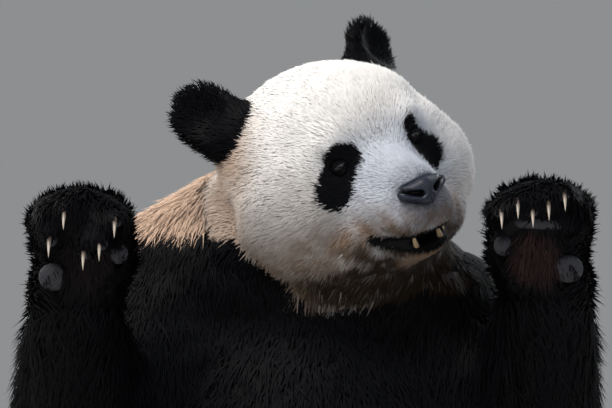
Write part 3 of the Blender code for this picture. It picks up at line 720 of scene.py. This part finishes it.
def tree_of(node):
    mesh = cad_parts[node].data
    return BVHTree.FromPolygons([v.co for v in mesh.vertices], [p.vertices for p in mesh.polygons])


def part_of(node):
    """The node's name without its side."""
    return node.replace("_left", "").replace("_right", "")


def nearest_nodes(points):
    """The index in FLESH of the node nearest to each point."""
    reach = 0.03
    best = np.full(len(points), 9.0)
    label = np.zeros(len(points), int)
    for number, node in enumerate(FLESH):
        tree = tree_of(node)
        low, high = corners_of(node)
        near = np.all((points > low - reach) & (points < high + reach), axis=1)
        for index in np.nonzero(near)[0]:
            distance = tree.find_nearest(points[index])[3]
            if distance < best[index]:
                best[index] = distance
                label[index] = number
    return label


def raw_lie(points, label):
    """The way that the coat lies on each node, before it is combed smooth."""
    lie = np.tile((0.0, 0.10, -1.0), (len(points), 1))
    for number, node in enumerate(FLESH):
        own = label == number
        place = points[own]
        side = 1 if node.endswith("left") else -1
        low, high = corners_of(node)
        middle = (low + high) / 2
        if part_of(node) in COMBED:
            lie[own] = COMBED[part_of(node)] * np.array((side, 1, 1))
        elif node in ("head", "jaw"):
            local = into(HEAD, place)
            hang = step(-local[:, 2], 0.02, 0.14) * step(local[:, 1], -0.02, 0.06)
            lie[own] = unit(place - out_of(HEAD, np.array(WHORL))) + hang[:, None] * (0, 0, -1.1)
        elif node.startswith("ear"):
            lie[own] = unit(place - out_of(HEAD, np.array((0.115 * side, 0.150, 0.075))))
        elif node.startswith("forepaw"):
            wrist = np.array((middle[0], high[1] - 0.02, low[2] + 0.03))
            over = np.array((middle[0], low[1] + 0.07, high[2] - 0.06))
            front = step(-(place[:, 1] - over[1]), -0.02, 0.04)[:, None]
            lie[own] = unit(over - wrist) * (1 - front) + np.array((0, -0.25, -1)) * front
            lie[own] += 0.35 * unit(place - over)
        elif node.startswith("hind_paw"):
            lie[own] = unit(place - (middle[0], high[1] + 0.02, low[2])) * (1, 0.6, 1)
    return unit(lie)


for side_name in SIDES:
    for reach in LID_CUTS:
        cut_finer(skin, eye_frame(side_name)[0].translation, reach)
points = points_of(skin.data)
label = nearest_nodes(points)
local = into(HEAD, points)
from_head = lengths((local - RUFF_MIDDLE) / RUFF_REACH)
label[(label == FLESH.index("head")) & (from_head > 1) & (local[:, 1] > 0.04)] = FLESH.index("neck")
label[(label == FLESH.index("neck")) & (from_head < 1)] = FLESH.index("head")
ends = ends_of(skin.data)
part_of_node = np.array([PARTS.index(part_of(node)) for node in FLESH])
share_of_part = spread(np.eye(len(PARTS))[part_of_node[label]], ends, 10)
table = np.array([COAT[part] for part in PARTS])

# The face has shorter, finer and denser fur, bare towards the nose, mouth and eyes.
_, y, z = local.T
on_head = share_of_part[:, PARTS.index("head")] + share_of_part[:, PARTS.index("jaw")]
eyes = [np.array(eye_frame(side_name)[0].translation) for side_name in SIDES]
eye_out = np.min([lengths(points - eye_at) for eye_at in eyes], axis=0)
nose_out = lengths(local - NOSE_TIP)
mouth_out = lengths((local - MOUTH_FRONT) * (0.75, 1, 1.3))
near_detail = np.minimum(step(nose_out, 0.024, 0.12), step(mouth_out, 0.02, 0.10))
near_detail = np.minimum(step(eye_out, 0.014, 0.055), near_detail)
ruff = step(-z, 0.07, 0.15) * step(y, -0.01, 0.06)
cheek = step(y, 0.04, 0.12) * step(0.09 - z, 0, 0.08)
face_coat = np.stack([
    0.0012 + 0.0078 * near_detail + 0.0085 * ruff + 0.004 * cheek,
    0.0055 + 0.0120 * near_detail + 0.0220 * ruff + 0.007 * cheek,
    0.0009 + 0.0006 * near_detail + 0.0007 * ruff,
    26 + 30 * step(0.10 - y, 0, 0.08) - 14 * ruff,
])
depth, length, width, thick = (share_of_part @ table).T * (1 - on_head) + face_coat * on_head

claw_out = np.min([lengths(points - root) for root in CLAW_ROOTS], axis=0)
near_claw = step(0.045 - claw_out, 0, 0.030)
depth *= 1 - 0.5 * near_claw
length *= 1 - 0.35 * near_claw

lie = raw_lie(points, label)
normal = normals_of(skin.data)
for _ in range(COMBINGS):
    lie = unit(spread(lie - normal * np.sum(lie * normal, axis=1)[:, None], ends, 2))
fields = spread(np.stack([depth, length, width, thick], axis=1), ends, 6)
depth, length, width, thick = fields.T
sunk = points - spread(normal, ends, 4) * depth[:, None]
sunk[:, 2] = np.maximum(sunk[:, 2], 0.0015)
for side_name in SIDES:
    sunk = draw_lids(sunk, side_name)
set_points(skin.data, sunk)
normal = normals_of(skin.data)
lie = unit(lie - normal * np.sum(lie * normal, axis=1)[:, None])


# ---------------------------------------- markings
# White face, neck and belly, warm where they are stained or take painted warm light, greyer where
# painted shade falls, with black ears, eye patches, shoulders, chest and legs.
# Skin and coat take their colour from this one rule.
WHITE = np.array((0.86, 0.84, 0.82))
# A cool blue-grey for painted shade on the middle of the face.
COOL_SHADE = np.array((0.52, 0.56, 0.65))
# A grey for painted shade on the lower head.
LOWER_HEAD_SHADE = np.array((0.35, 0.325, 0.31))
# A peach that is partly a warm stain and partly painted warm light.
PEACH_STAIN_AND_LIGHT = np.array((0.56, 0.365, 0.25))
TAN = np.array((0.22, 0.15, 0.105))
# A dark brown that is partly a real brown stain and partly painted shade under the jaw.
BROWN_STAIN_AND_SHADE = np.array((0.020, 0.0125, 0.0075))
BLACK = np.array((0.0030, 0.0032, 0.0045))
SMUDGE = np.array((0.11, 0.115, 0.145))
RUSSET = np.array((0.034, 0.017, 0.016))
# The skin is painted this much darker than the fur over it, as painted shade under the coat.
UNDER_WHITE, UNDER_BLACK = 0.92, 0.6
# The heights of the black band round the shoulders, and the palms' stain, in the paws' axes.
BAND_TOP, BAND_BOTTOM = 0.705, 0.475
PALM_MIDDLE, PALM_REACH = (0.008, -0.038, 0), (0.036, 0.036)
EARS_APART, EAR_REACH = 0.254, (0.058, 0.050, 0.066)
EARS = {}
for side_name, side in SIDES.items():
    turn = Euler((math.radians(-8), math.radians(38 * side), math.radians(28 * side)), "YXZ")
    root = Matrix.Translation((EARS_APART / 2 * side, 0.160, 0.098))
    EARS[side_name] = HEAD @ root @ turn.to_matrix().to_4x4()
# The eye patches' outlines, outwards and upwards from midway between the eyes.
PATCHES = {
    "right": ((0.0658, 0.0293), (0.0507, 0.0260), (0.0367, 0.0225), (0.0310, 0.0056), (0.0420, -0.0085),
              (0.0513, -0.0220), (0.0587, -0.0348), (0.0703, -0.0466), (0.0855, -0.0517), (0.0976, -0.0434),
              (0.1060, -0.0310), (0.1052, -0.0218), (0.0927, -0.0062), (0.0814, 0.0052), (0.0764, 0.0185)),
    "left": ((0.0620, 0.0270), (0.0525, 0.0290), (0.0436, 0.0220), (0.0420, 0.0071), (0.0440, -0.0085),
             (0.0513, -0.0220), (0.0587, -0.0348), (0.0690, -0.0470), (0.0790, -0.0505), (0.0860, -0.0424),
             (0.0915, -0.0284), (0.0915, -0.0130), (0.0749, 0.0023), (0.0667, 0.0163)),
}


def waves(points, size, seed, count=9):
    """Smooth noise of about that wavelength, from -1 to 1: a sum of waves that run every way."""
    rng = np.random.default_rng(seed)
    ways = unit(rng.normal(size=(count, 3))) * (2 * math.pi / size) * rng.uniform(0.6, 1.5, (count, 1))
    return np.sin(points @ ways.T + rng.uniform(0, 6.28, count)).sum(1) / math.sqrt(count / 2) / 1.6


def inside_outline(spots, outline):
    """How far inside a closed outline each spot lies; below 0 outside it."""
    best, inside = np.full(len(spots), 9.0), np.zeros(len(spots), bool)
    corners = np.array(outline)
    for a, b in zip(np.roll(corners, 1, axis=0), corners):
        best = np.minimum(best, lengths(gaps_to(spots, a, b)))
        crosses = (a[1] > spots[:, 1]) != (b[1] > spots[:, 1])
        way = b - a
        inside ^= crosses & (spots[:, 0] < a[0] + (spots[:, 1] - a[1]) / way[1] * way[0])
    return np.where(inside, best, -best)


def patch_share(local, side_name, ragged):
    """1 in an eye's black patch: a drooping oval, narrower above, that leans outwards below."""
    across = local[:, 0] * SIDES[side_name]
    inside = inside_outline(np.stack([across, local[:, 2]], axis=1), PATCHES[side_name])
    facing = step(-local[:, 1], -0.10, -0.06) * (across > 0)
    return step(inside + ragged, -0.0010, 0.0010) * facing


MOUTH_CORNER, MOUTH_FAR, MOUTH_HALF_WIDTH = 0.0245, -0.130, 0.056
MOUTH_BACK_HEIGHT, MOUTH_FAR_HEIGHT, MOUTH_GAPE, MOUTH_RISE = -0.112, -0.119, 0.030, 0.010


def mouth_gap(local):
    """How far outside (+) or inside (-) the mouth's gap each point lies; the gap is a wedge."""
    x, y, z = local.T
    turn = np.clip(x / MOUTH_HALF_WIDTH, -1, 1) ** 2
    share = np.clip((MOUTH_CORNER - y) / (MOUTH_CORNER - MOUTH_FAR), 0, 1)
    top = MOUTH_BACK_HEIGHT + (MOUTH_FAR_HEIGHT - MOUTH_BACK_HEIGHT) * share + MOUTH_RISE * turn
    low = top - MOUTH_GAPE * (1 - 0.9 * turn) * share
    beyond = np.maximum(y - MOUTH_CORNER, np.abs(x) - MOUTH_HALF_WIDTH)
    return np.maximum(np.maximum(z - top, low - z), beyond)


def markings(points, share, seed):
    """The coat's colour at each point, and how black it is. share holds the parts' shares there."""
    local = into(HEAD, points)
    x, y, z = local.T
    left, back, up = points.T
    part = {name: share[:, number] for number, name in enumerate(PARTS)}
    head = part["head"] + part["jaw"]
    ragged = waves(points, 0.022, seed) * 0.006 + waves(points, 0.09, seed + 1) * 0.010
    fine = waves(points, 0.006, seed + 3)
    locks = waves(local * (1, 1, 0.25), 0.012, seed + 4)
    colour = np.tile(WHITE, (len(points), 1))
    far_side = step(x, 0.07, 0.11)
    # Painted shade: the lower head is greyed as if shaded from light above, less on the far side.
    colour = mix(colour, LOWER_HEAD_SHADE, (0.80 - 0.50 * far_side) * head * step(0.065 - z, 0, 0.10))
    # Painted shade: the middle of the face is tinted cool blue-grey as if in shade, less on the far side.
    shaded_face_middle = head * step(0.10 - y, 0, 0.10) * step(0.06 - z, 0, 0.06) * step(x, -0.11, -0.04)
    colour = mix(colour, COOL_SHADE, 0.85 * shaded_face_middle * (1 - 0.7 * far_side))
    # Below and behind the ear the white is tinted a darker peach: partly warm stain, partly painted shade
    # under the ear.
    shade_near_ear = step(-x, 0.07, 0.14) * step(y, 0.06, 0.13)
    shade_near_ear *= 0.4 + np.maximum(0.6 * step(z, -0.01, 0.045), 0.4 * step(y, 0.13, 0.17))
    colour = mix(colour, PEACH_STAIN_AND_LIGHT * 0.85, 0.80 * head * shade_near_ear)
    stain = step(-z + ragged * 0.8, 0.035, 0.100) * (head + part["neck"])
    stain *= 1 - 0.7 * far_side * step(z, -0.135, -0.105)
    colour = mix(colour, TAN, stain * np.clip(0.70 + 0.28 * locks, 0, 1))
    # The throat darkens to brown, partly a real brown stain and partly painted shade under the jaw, darkest
    # at the bottom.
    throat = step(-z + ragged, 0.088, 0.134)
    throat *= step(0.13 + np.minimum(x + 0.03, 0), 0, 0.06)
    hem_shade = 0.3 * step(-z, 0.115, 0.145)
    colour = mix(colour, BROWN_STAIN_AND_SHADE, throat * (head + part["neck"]) * np.clip(0.78 + 0.30 * locks + hem_shade, 0, 1))
    colour = mix(colour, TAN, 0.10 * head * step(x, 0.10, 0.15))
    chin = head * (1 - step(lengths(local - (0, -0.015, -0.150)), 0.024, 0.044))
    colour = mix(colour, TAN * 1.25, 0.8 * chin)
    # The front of the neck is tinted peach, partly a warm stain and partly painted warm light, and darker
    # towards the head as painted shade.
    warm_neck = part["neck"] * step(z, -0.10, -0.05) * step(0.07 - back, 0, 0.08)
    from_head = lengths((local - RUFF_MIDDLE) / RUFF_REACH)
    nape_shade = 1 - step(from_head, 1.0, 1.3)
    colour = mix(colour, PEACH_STAIN_AND_LIGHT * (1.0 - 0.38 * nape_shade[:, None]), 0.90 * warm_neck)
    chest = step(-back, 0.02, 0.08) * step(up, 0.50, 0.56)
    body = (part["trunk"] + part["thigh"] * 0.5 + part["tail"]) * (1 - chest)
    colour = mix(colour, WHITE * (0.93, 0.88, 0.80), 0.9 * body)
    nose_out = lengths((local - NOSE_TIP) * (0.9, 1, 1))
    speckle = step(0.062 - nose_out, 0, 0.036) * (0.40 + 0.60 * (waves(points, 0.0035, seed + 2) > 0.0))
    colour = mix(colour, SMUDGE, 0.80 * speckle * head)
    limbs = sum(part[name] for name in ("upper_arm", "forearm", "forepaw", "shank", "hind_paw"))
    front = step(-back, -0.06, 0.10)
    under = step(-back, 0.02, 0.08) * step(left, -0.14, -0.08)
    top, bottom = BAND_TOP + 0.010 * front + 0.050 * under, BAND_BOTTOM - 0.055 * front
    band = step(top - up + ragged, -0.006, 0.006)
    band *= step(up - bottom + ragged, -0.012, 0.012)
    thigh = part["thigh"] * step(-back + ragged * 0.5, -0.004, 0.004)
    fringe = step(from_head, 0.965, 0.985) * step(BAND_TOP - up, 0, 0.012)
    fringe *= step(y, 0.10, 0.13)
    dark = limbs + thigh + (part["trunk"] + part["neck"]) * band + part["head"] * fringe
    black = step(dark + ragged * 2.5 * (1 - head), 0.42, 0.58)
    for side_name in SIDES:
        own = (into(EARS[side_name], points) - (0, 0, 0.008)) / EAR_REACH
        black = np.maximum(black, 1 - step(lengths(own) + fine * 0.02, 0.97, 1.03))
        black = np.maximum(black, patch_share(local, side_name, fine * 0.0011) * head)
    lower = step(-z, 0.108, 0.118)
    reach = 0.0045 + 0.0045 * lower
    lips = 1 - step(mouth_gap(local) + fine * 0.0008, reach, reach + 0.0025)
    corner = 1 - step(lengths(np.abs(local) - (0.060, 0.004, 0.101)), 0.007, 0.011)
    black = np.maximum(black, np.maximum(lips, corner * (z < 0)) * head * (nose_out < 0.12))
    colour = mix(colour, BLACK, black)
    # The right palm takes little of the reddish stain, so that it stays nearly black: painted shade on that
    # palm.
    for side_name, strength in (("left", 0.85), ("right", 0.20)):
        own = into(PAWS[f"forepaw_{side_name}"], points)
        out = lengths((own - PALM_MIDDLE)[:, :2] / PALM_REACH)
        palm = (1 - step(out + ragged * 8, 0.5, 1.1)) * step(own[:, 2], 0.004, 0.016) * (own[:, 2] < 0.040)
        colour = mix(colour, RUSSET, strength * palm * np.clip(0.8 + 0.4 * locks, 0, 1))
    return colour, black


skin_colour, skin_black = markings(points, share_of_part, 5)
# Painted shade: the skin is darkened under the coat, more under black fur.
hide_shade = mix(np.full((len(points), 1), UNDER_WHITE), UNDER_BLACK, skin_black)
give_colour(skin.data, "coat_colour", skin_colour * hide_shade)


def coat_material(name, roughness, gloss, sheen, tint):
    sheens = {"Sheen_Weight": sheen, "Sheen_Roughness": 0.4}
    material, shader = principled(name, roughness, Specular_IOR_Level=gloss, **sheens)
    shader.inputs["Sheen Tint"].default_value = tint
    link = material.node_tree.links.new
    colour = add_node(material, "ShaderNodeAttribute", attribute_name="coat_colour")
    place = add_node(material, "ShaderNodeTexCoord")
    grain = add_node(material, "ShaderNodeTexNoise", Scale=420.0, Detail=3.0)
    link(place.outputs["Object"], grain.inputs["Vector"])
    tone = add_node(material, "ShaderNodeMapRange", To_Min=0.86, To_Max=1.12)
    link(grain.outputs["Fac"], tone.inputs["Value"])
    scale = add_node(material, "ShaderNodeVectorMath", operation="SCALE")
    link(colour.outputs["Color"], scale.inputs[0])
    link(tone.outputs["Result"], scale.inputs["Scale"])
    link(scale.outputs["Vector"], shader.inputs["Base Color"])
    return material


skin_hide = coat_material("hide", 0.75, 0.2, 0.0, (1, 1, 1, 1))
skin.data.materials.append(skin_hide)
pick(skin)
bpy.ops.object.mode_set(mode="EDIT")
bpy.ops.mesh.select_all(action="SELECT")
bpy.ops.uv.smart_project(angle_limit=1.15, island_margin=0.002)
bpy.ops.object.mode_set(mode="OBJECT")
skin.data.uv_layers[0].name = "OFBake"
bpy.ops.object.shade_smooth()
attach(skin, "root")
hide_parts(*FLESH)


# ---------------------------------------- coat
# A quarter of a million thin closed tufts, each a few hairs stuck together, root in the skin and
# tip lying along the body. Fine and short on the face, ears and feet, long and loose on the body.
MOST_TRIANGLES = 190000
DENSITY = 1.0
# How deep a root sits in the skin, and how far a tuft's patch reaches across the map.
SINK, PATCH_REACH = 0.0015, 0.0015
# How far along a tuft its bend is, and how high the bend and the tip stand, per its own measures.
BEND, BEND_HEIGHT, TIP_HEIGHT = 0.38, 0.72, 0.92
# How a tuft's length, height and width vary, and how far it bends aside and hangs, per its length.
LONG, HIGH, WIDE = (0.72, 1.18), (0.62, 1.08), (0.75, 1.3)
CLUMPING, CURL, DROOP = 0.10, 0.05, 0.06
# Where along a tuft its colour is read, and the metres by which that place is blurred.
COLOUR_AT, COLOUR_JITTER = 0.42, 0.0012
# How far tufts stray from the lie, in radians.
HEAD_WANDER, BODY_WANDER = 0.13, 0.24
# How much darker a tuft's root is, as painted shade deep in the coat, with more added in the ruff,
# where the locks really have dark roots and pale tips and the rest is painted shade; and what share of
# that each point takes: the root, the bend's three corners and the tip.
ROOT_SHADE, RUFF_LOCKS_AND_SHADE = 0.10, 0.22
ROOT_SHADE_ALONG = np.array((-1.0, -0.2, -0.2, -0.2, 0.6))
TONE_SPREAD, TONE_WAVE = 0.035, 0.03

KINDS = ("head", "head", "ears", "neck", "trunk", "tail")
KINDS += ("arms", "arms", "forepaws", "legs", "legs", "hind_paws")

mesh = skin.data
mesh.calc_loop_triangles()
corners = rows_of(mesh.loop_triangles, "vertices", 3, np.int32)
loops = rows_of(mesh.loop_triangles, "loops", 3, np.int32)
spots = rows_of(mesh.uv_layers["OFBake"].data, "uv", 2)[loops]
sunk = points_of(mesh)
normal = normals_of(mesh)
first, second, third = sunk[corners.T]
area = lengths(np.cross(second - first, third - first)) / 2


def blend(values, weights, faces):
    """The values of the faces' corners, mixed by weights."""
    return np.einsum("ij,ij...->i...", weights, values[corners[faces]])


def grown_roots(rng):
    """Faces and corner weights of the tufts' roots, as dense as each part of the coat is."""
    crowd = area * 1e4 * thick[corners].mean(1) * DENSITY
    total = np.cumsum(crowd)
    count = int(total[-1])
    faces = np.searchsorted(total, (np.arange(count) + rng.random(count)) / count * total[-1])
    faces = np.minimum(faces, len(corners) - 1)
    a, b = rng.random(count), rng.random(count)
    over = a + b > 1
    a, b = np.where(over, 1 - a, a), np.where(over, 1 - b, b)
    return faces, np.stack([1 - a - b, a, b], axis=1)


def is_bare(root):
    """True where no hair grows: eye openings, nose leather, lips and the inside of the mouth."""
    bare = np.zeros(len(root), bool)
    for side_name in SIDES:
        own = into(eye_frame(side_name)[0], root)
        bare |= (opening_share(own) < 1.25) & (np.abs(own[:, 1]) < 0.03)
    local = into(HEAD, root)
    near_nose = np.nonzero(lengths(local - NOSE_TIP) < 0.07)[0]
    tree = tree_of("nose")
    for index in near_nose:
        place, facing, _, distance = tree.find_nearest(root[index])
        bare[index] |= distance < 0.0012 or (Vector(root[index]) - place).dot(facing) < 0
    bare |= (mouth_gap(local) < 0.0022) & (local[:, 1] < 0.03) & (np.abs(local[:, 0]) < 0.06)
    for axes, radii in PADS:
        bare |= lengths(into(axes, root) / radii) < 0.92
    return bare


def tuft_arrays(place, rng):
    """Points, colours, normals and patch corners of the tufts, as rows of one tuft each."""
    base, wander = place["root"], place["wander"]
    count = len(base)
    n, d = unit(place["normal"]), unit(place["lie"])
    turn = rng.normal(0, 1, count) * wander + waves(base, 0.030, 31) * wander * 0.9
    aside = np.cross(n, d)
    d = unit(d * np.cos(turn)[:, None] + aside * np.sin(turn)[:, None])
    aside = unit(np.cross(n, d))
    long = (place["length"] * rng.uniform(*LONG, count))[:, None]
    high = (place["depth"] * rng.uniform(*HIGH, count))[:, None]
    wide = (place["width"] * rng.uniform(*WIDE, count))[:, None]
    clump = np.stack([waves(base, 0.016, 40 + k) for k in range(3)], axis=1) * CLUMPING * long
    clump -= n * np.sum(clump * n, axis=1)[:, None]
    curl = rng.normal(0, CURL, (count, 3)) * long
    droop = np.array((0, 0, -1.0)) * DROOP * long
    root = base - n * SINK
    middle = base + d * long * BEND + n * high * BEND_HEIGHT + (clump + curl) * 0.6 * BEND
    rows, facing = [root], [n]
    for offset, lean in ((aside, aside), (n * 0.55, n), (-aside, -aside)):
        rows.append(middle + offset * wide / 2)
        facing.append(unit(lean * 0.22 + n))
    tip = base + d * long + n * high * TIP_HEIGHT + clump + curl + droop
    rows.append(tip)
    facing.append(unit(n + d * 0.15))
    rows = np.stack(rows, axis=1)
    rows[:, :, 2] = np.maximum(rows[:, :, 2], 0.0006)
    tone = 1 + rng.normal(0, TONE_SPREAD, count) + TONE_WAVE * waves(base, 0.02, 77)
    # Painted shade: each tuft is darker towards its root.
    shade = 1 + place["contrast"][:, None] * ROOT_SHADE_ALONG[None]
    colour = place["colour"][:, None] * shade[:, :, None] * tone[:, None, None]
    return rows, np.clip(colour, 0.002, 0.95), np.stack(facing, axis=1)


def tuft_faces():
    """Corner numbers of one tuft's triangles, and each corner's place in its star-shaped patch."""
    turns = [math.pi / 2 + math.pi / 3 * k for k in range(6)]
    star = [(math.cos(turn), math.sin(turn)) for turn in turns]
    inner = [(0.55 * x, 0.55 * y) for x, y in star[::2]]
    faces, places = [], []
    for k in range(3):
        a, b = k, (k + 1) % 3
        faces += [(1 + b, 1 + a, 0), (1 + a, 1 + b, 4)]
        places += [(inner[b], inner[a], (0, 0)), (inner[a], inner[b], star[2 * k + 1])]
    return np.array(faces), np.array(places)


def coat_piece(name, rows, colour, facing, spot, material):
    """One mesh of tufts, riding on the body."""
    faces, places = tuft_faces()
    each, count = rows.shape[1], len(rows)
    index = (np.arange(count)[:, None, None] * each + faces[None]).reshape(-1)
    mesh = bpy.data.meshes.new(name)
    mesh.vertices.add(count * each)
    mesh.vertices.foreach_set("co", rows.astype(np.float32).ravel())
    mesh.loops.add(len(index))
    mesh.loops.foreach_set("vertex_index", index.astype(np.int32))
    mesh.polygons.add(len(index) // 3)
    mesh.polygons.foreach_set("loop_start", np.arange(0, len(index), 3, dtype=np.int32))
    mesh.polygons.foreach_set("loop_total", np.full(len(index) // 3, 3, np.int32))
    layer = mesh.uv_layers.new(name="OFBake")
    patch = spot[:, None, None, :] + places[None] * PATCH_REACH
    layer.data.foreach_set("uv", patch.astype(np.float32).ravel())
    give_colour(mesh, "coat_colour", colour.reshape(-1, 3))
    mesh.update(calc_edges=True)
    mesh.polygons.foreach_set("use_smooth", np.ones(len(mesh.polygons), bool))
    mesh.normals_split_custom_set_from_vertices(facing.reshape(-1, 3).astype(np.float32))
    mesh.materials.append(material)
    piece = new_piece(name, mesh)
    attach(piece, "root")
    return piece


white_fur = coat_material("white_fur", 0.78, 0.11, 0.05, (1.0, 0.96, 0.92, 1))
black_fur = coat_material("black_fur", 0.60, 0.06, 0.0, (0.6, 0.7, 1.0, 1))
rng = np.random.default_rng(11)
faces, weights = grown_roots(rng)
root = blend(sunk, weights, faces)
growing = ~is_bare(root)
faces, weights, root = faces[growing], weights[growing], root[growing]
share = blend(share_of_part, weights, faces)
jitter = rng.normal(0, COLOUR_JITTER, root.shape)
middle = blend(points + lie * length[:, None] * COLOUR_AT, weights, faces)
tuft_colour, tuft_black = markings(middle + jitter, share, 5)
kind = np.array(KINDS)[share.argmax(1)]
spot = np.einsum("ij,ijk->ik", weights, spots[faces])
wander = np.where(kind == "head", HEAD_WANDER, BODY_WANDER)
contrast = ROOT_SHADE + RUFF_LOCKS_AND_SHADE * blend(ruff, weights, faces)
on_skin = {"normal": normal, "lie": lie, "length": length, "depth": depth, "width": width}
on_tufts = {"root": root, "wander": wander, "contrast": contrast, "colour": tuft_colour}
most = MOST_TRIANGLES // 6
for group in dict.fromkeys(KINDS):
    for tone, material in (("white", white_fur), ("black", black_fur)):
        chosen = np.nonzero((kind == group) & ((tuft_black > 0.5) == (tone == "black")))[0]
        if len(chosen) == 0:
            continue
        there = (weights[chosen], faces[chosen])
        place = {name: blend(values, *there) for name, values in on_skin.items()}
        place.update({name: values[chosen] for name, values in on_tufts.items()})
        rows, colour, facing = tuft_arrays(place, rng)
        for number, start in enumerate(range(0, len(chosen), most)):
            cut = slice(start, start + most)
            name, slot = f"coat_{group}_{tone}_{number + 1}", f"{tone}_coat"
            coat_piece(name, rows[cut], colour[cut], facing[cut], spot[chosen[cut]], material)


# ---------------------------------------- end
size = [[list(corner) for corner in cad_box], [list(corner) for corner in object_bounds()]]
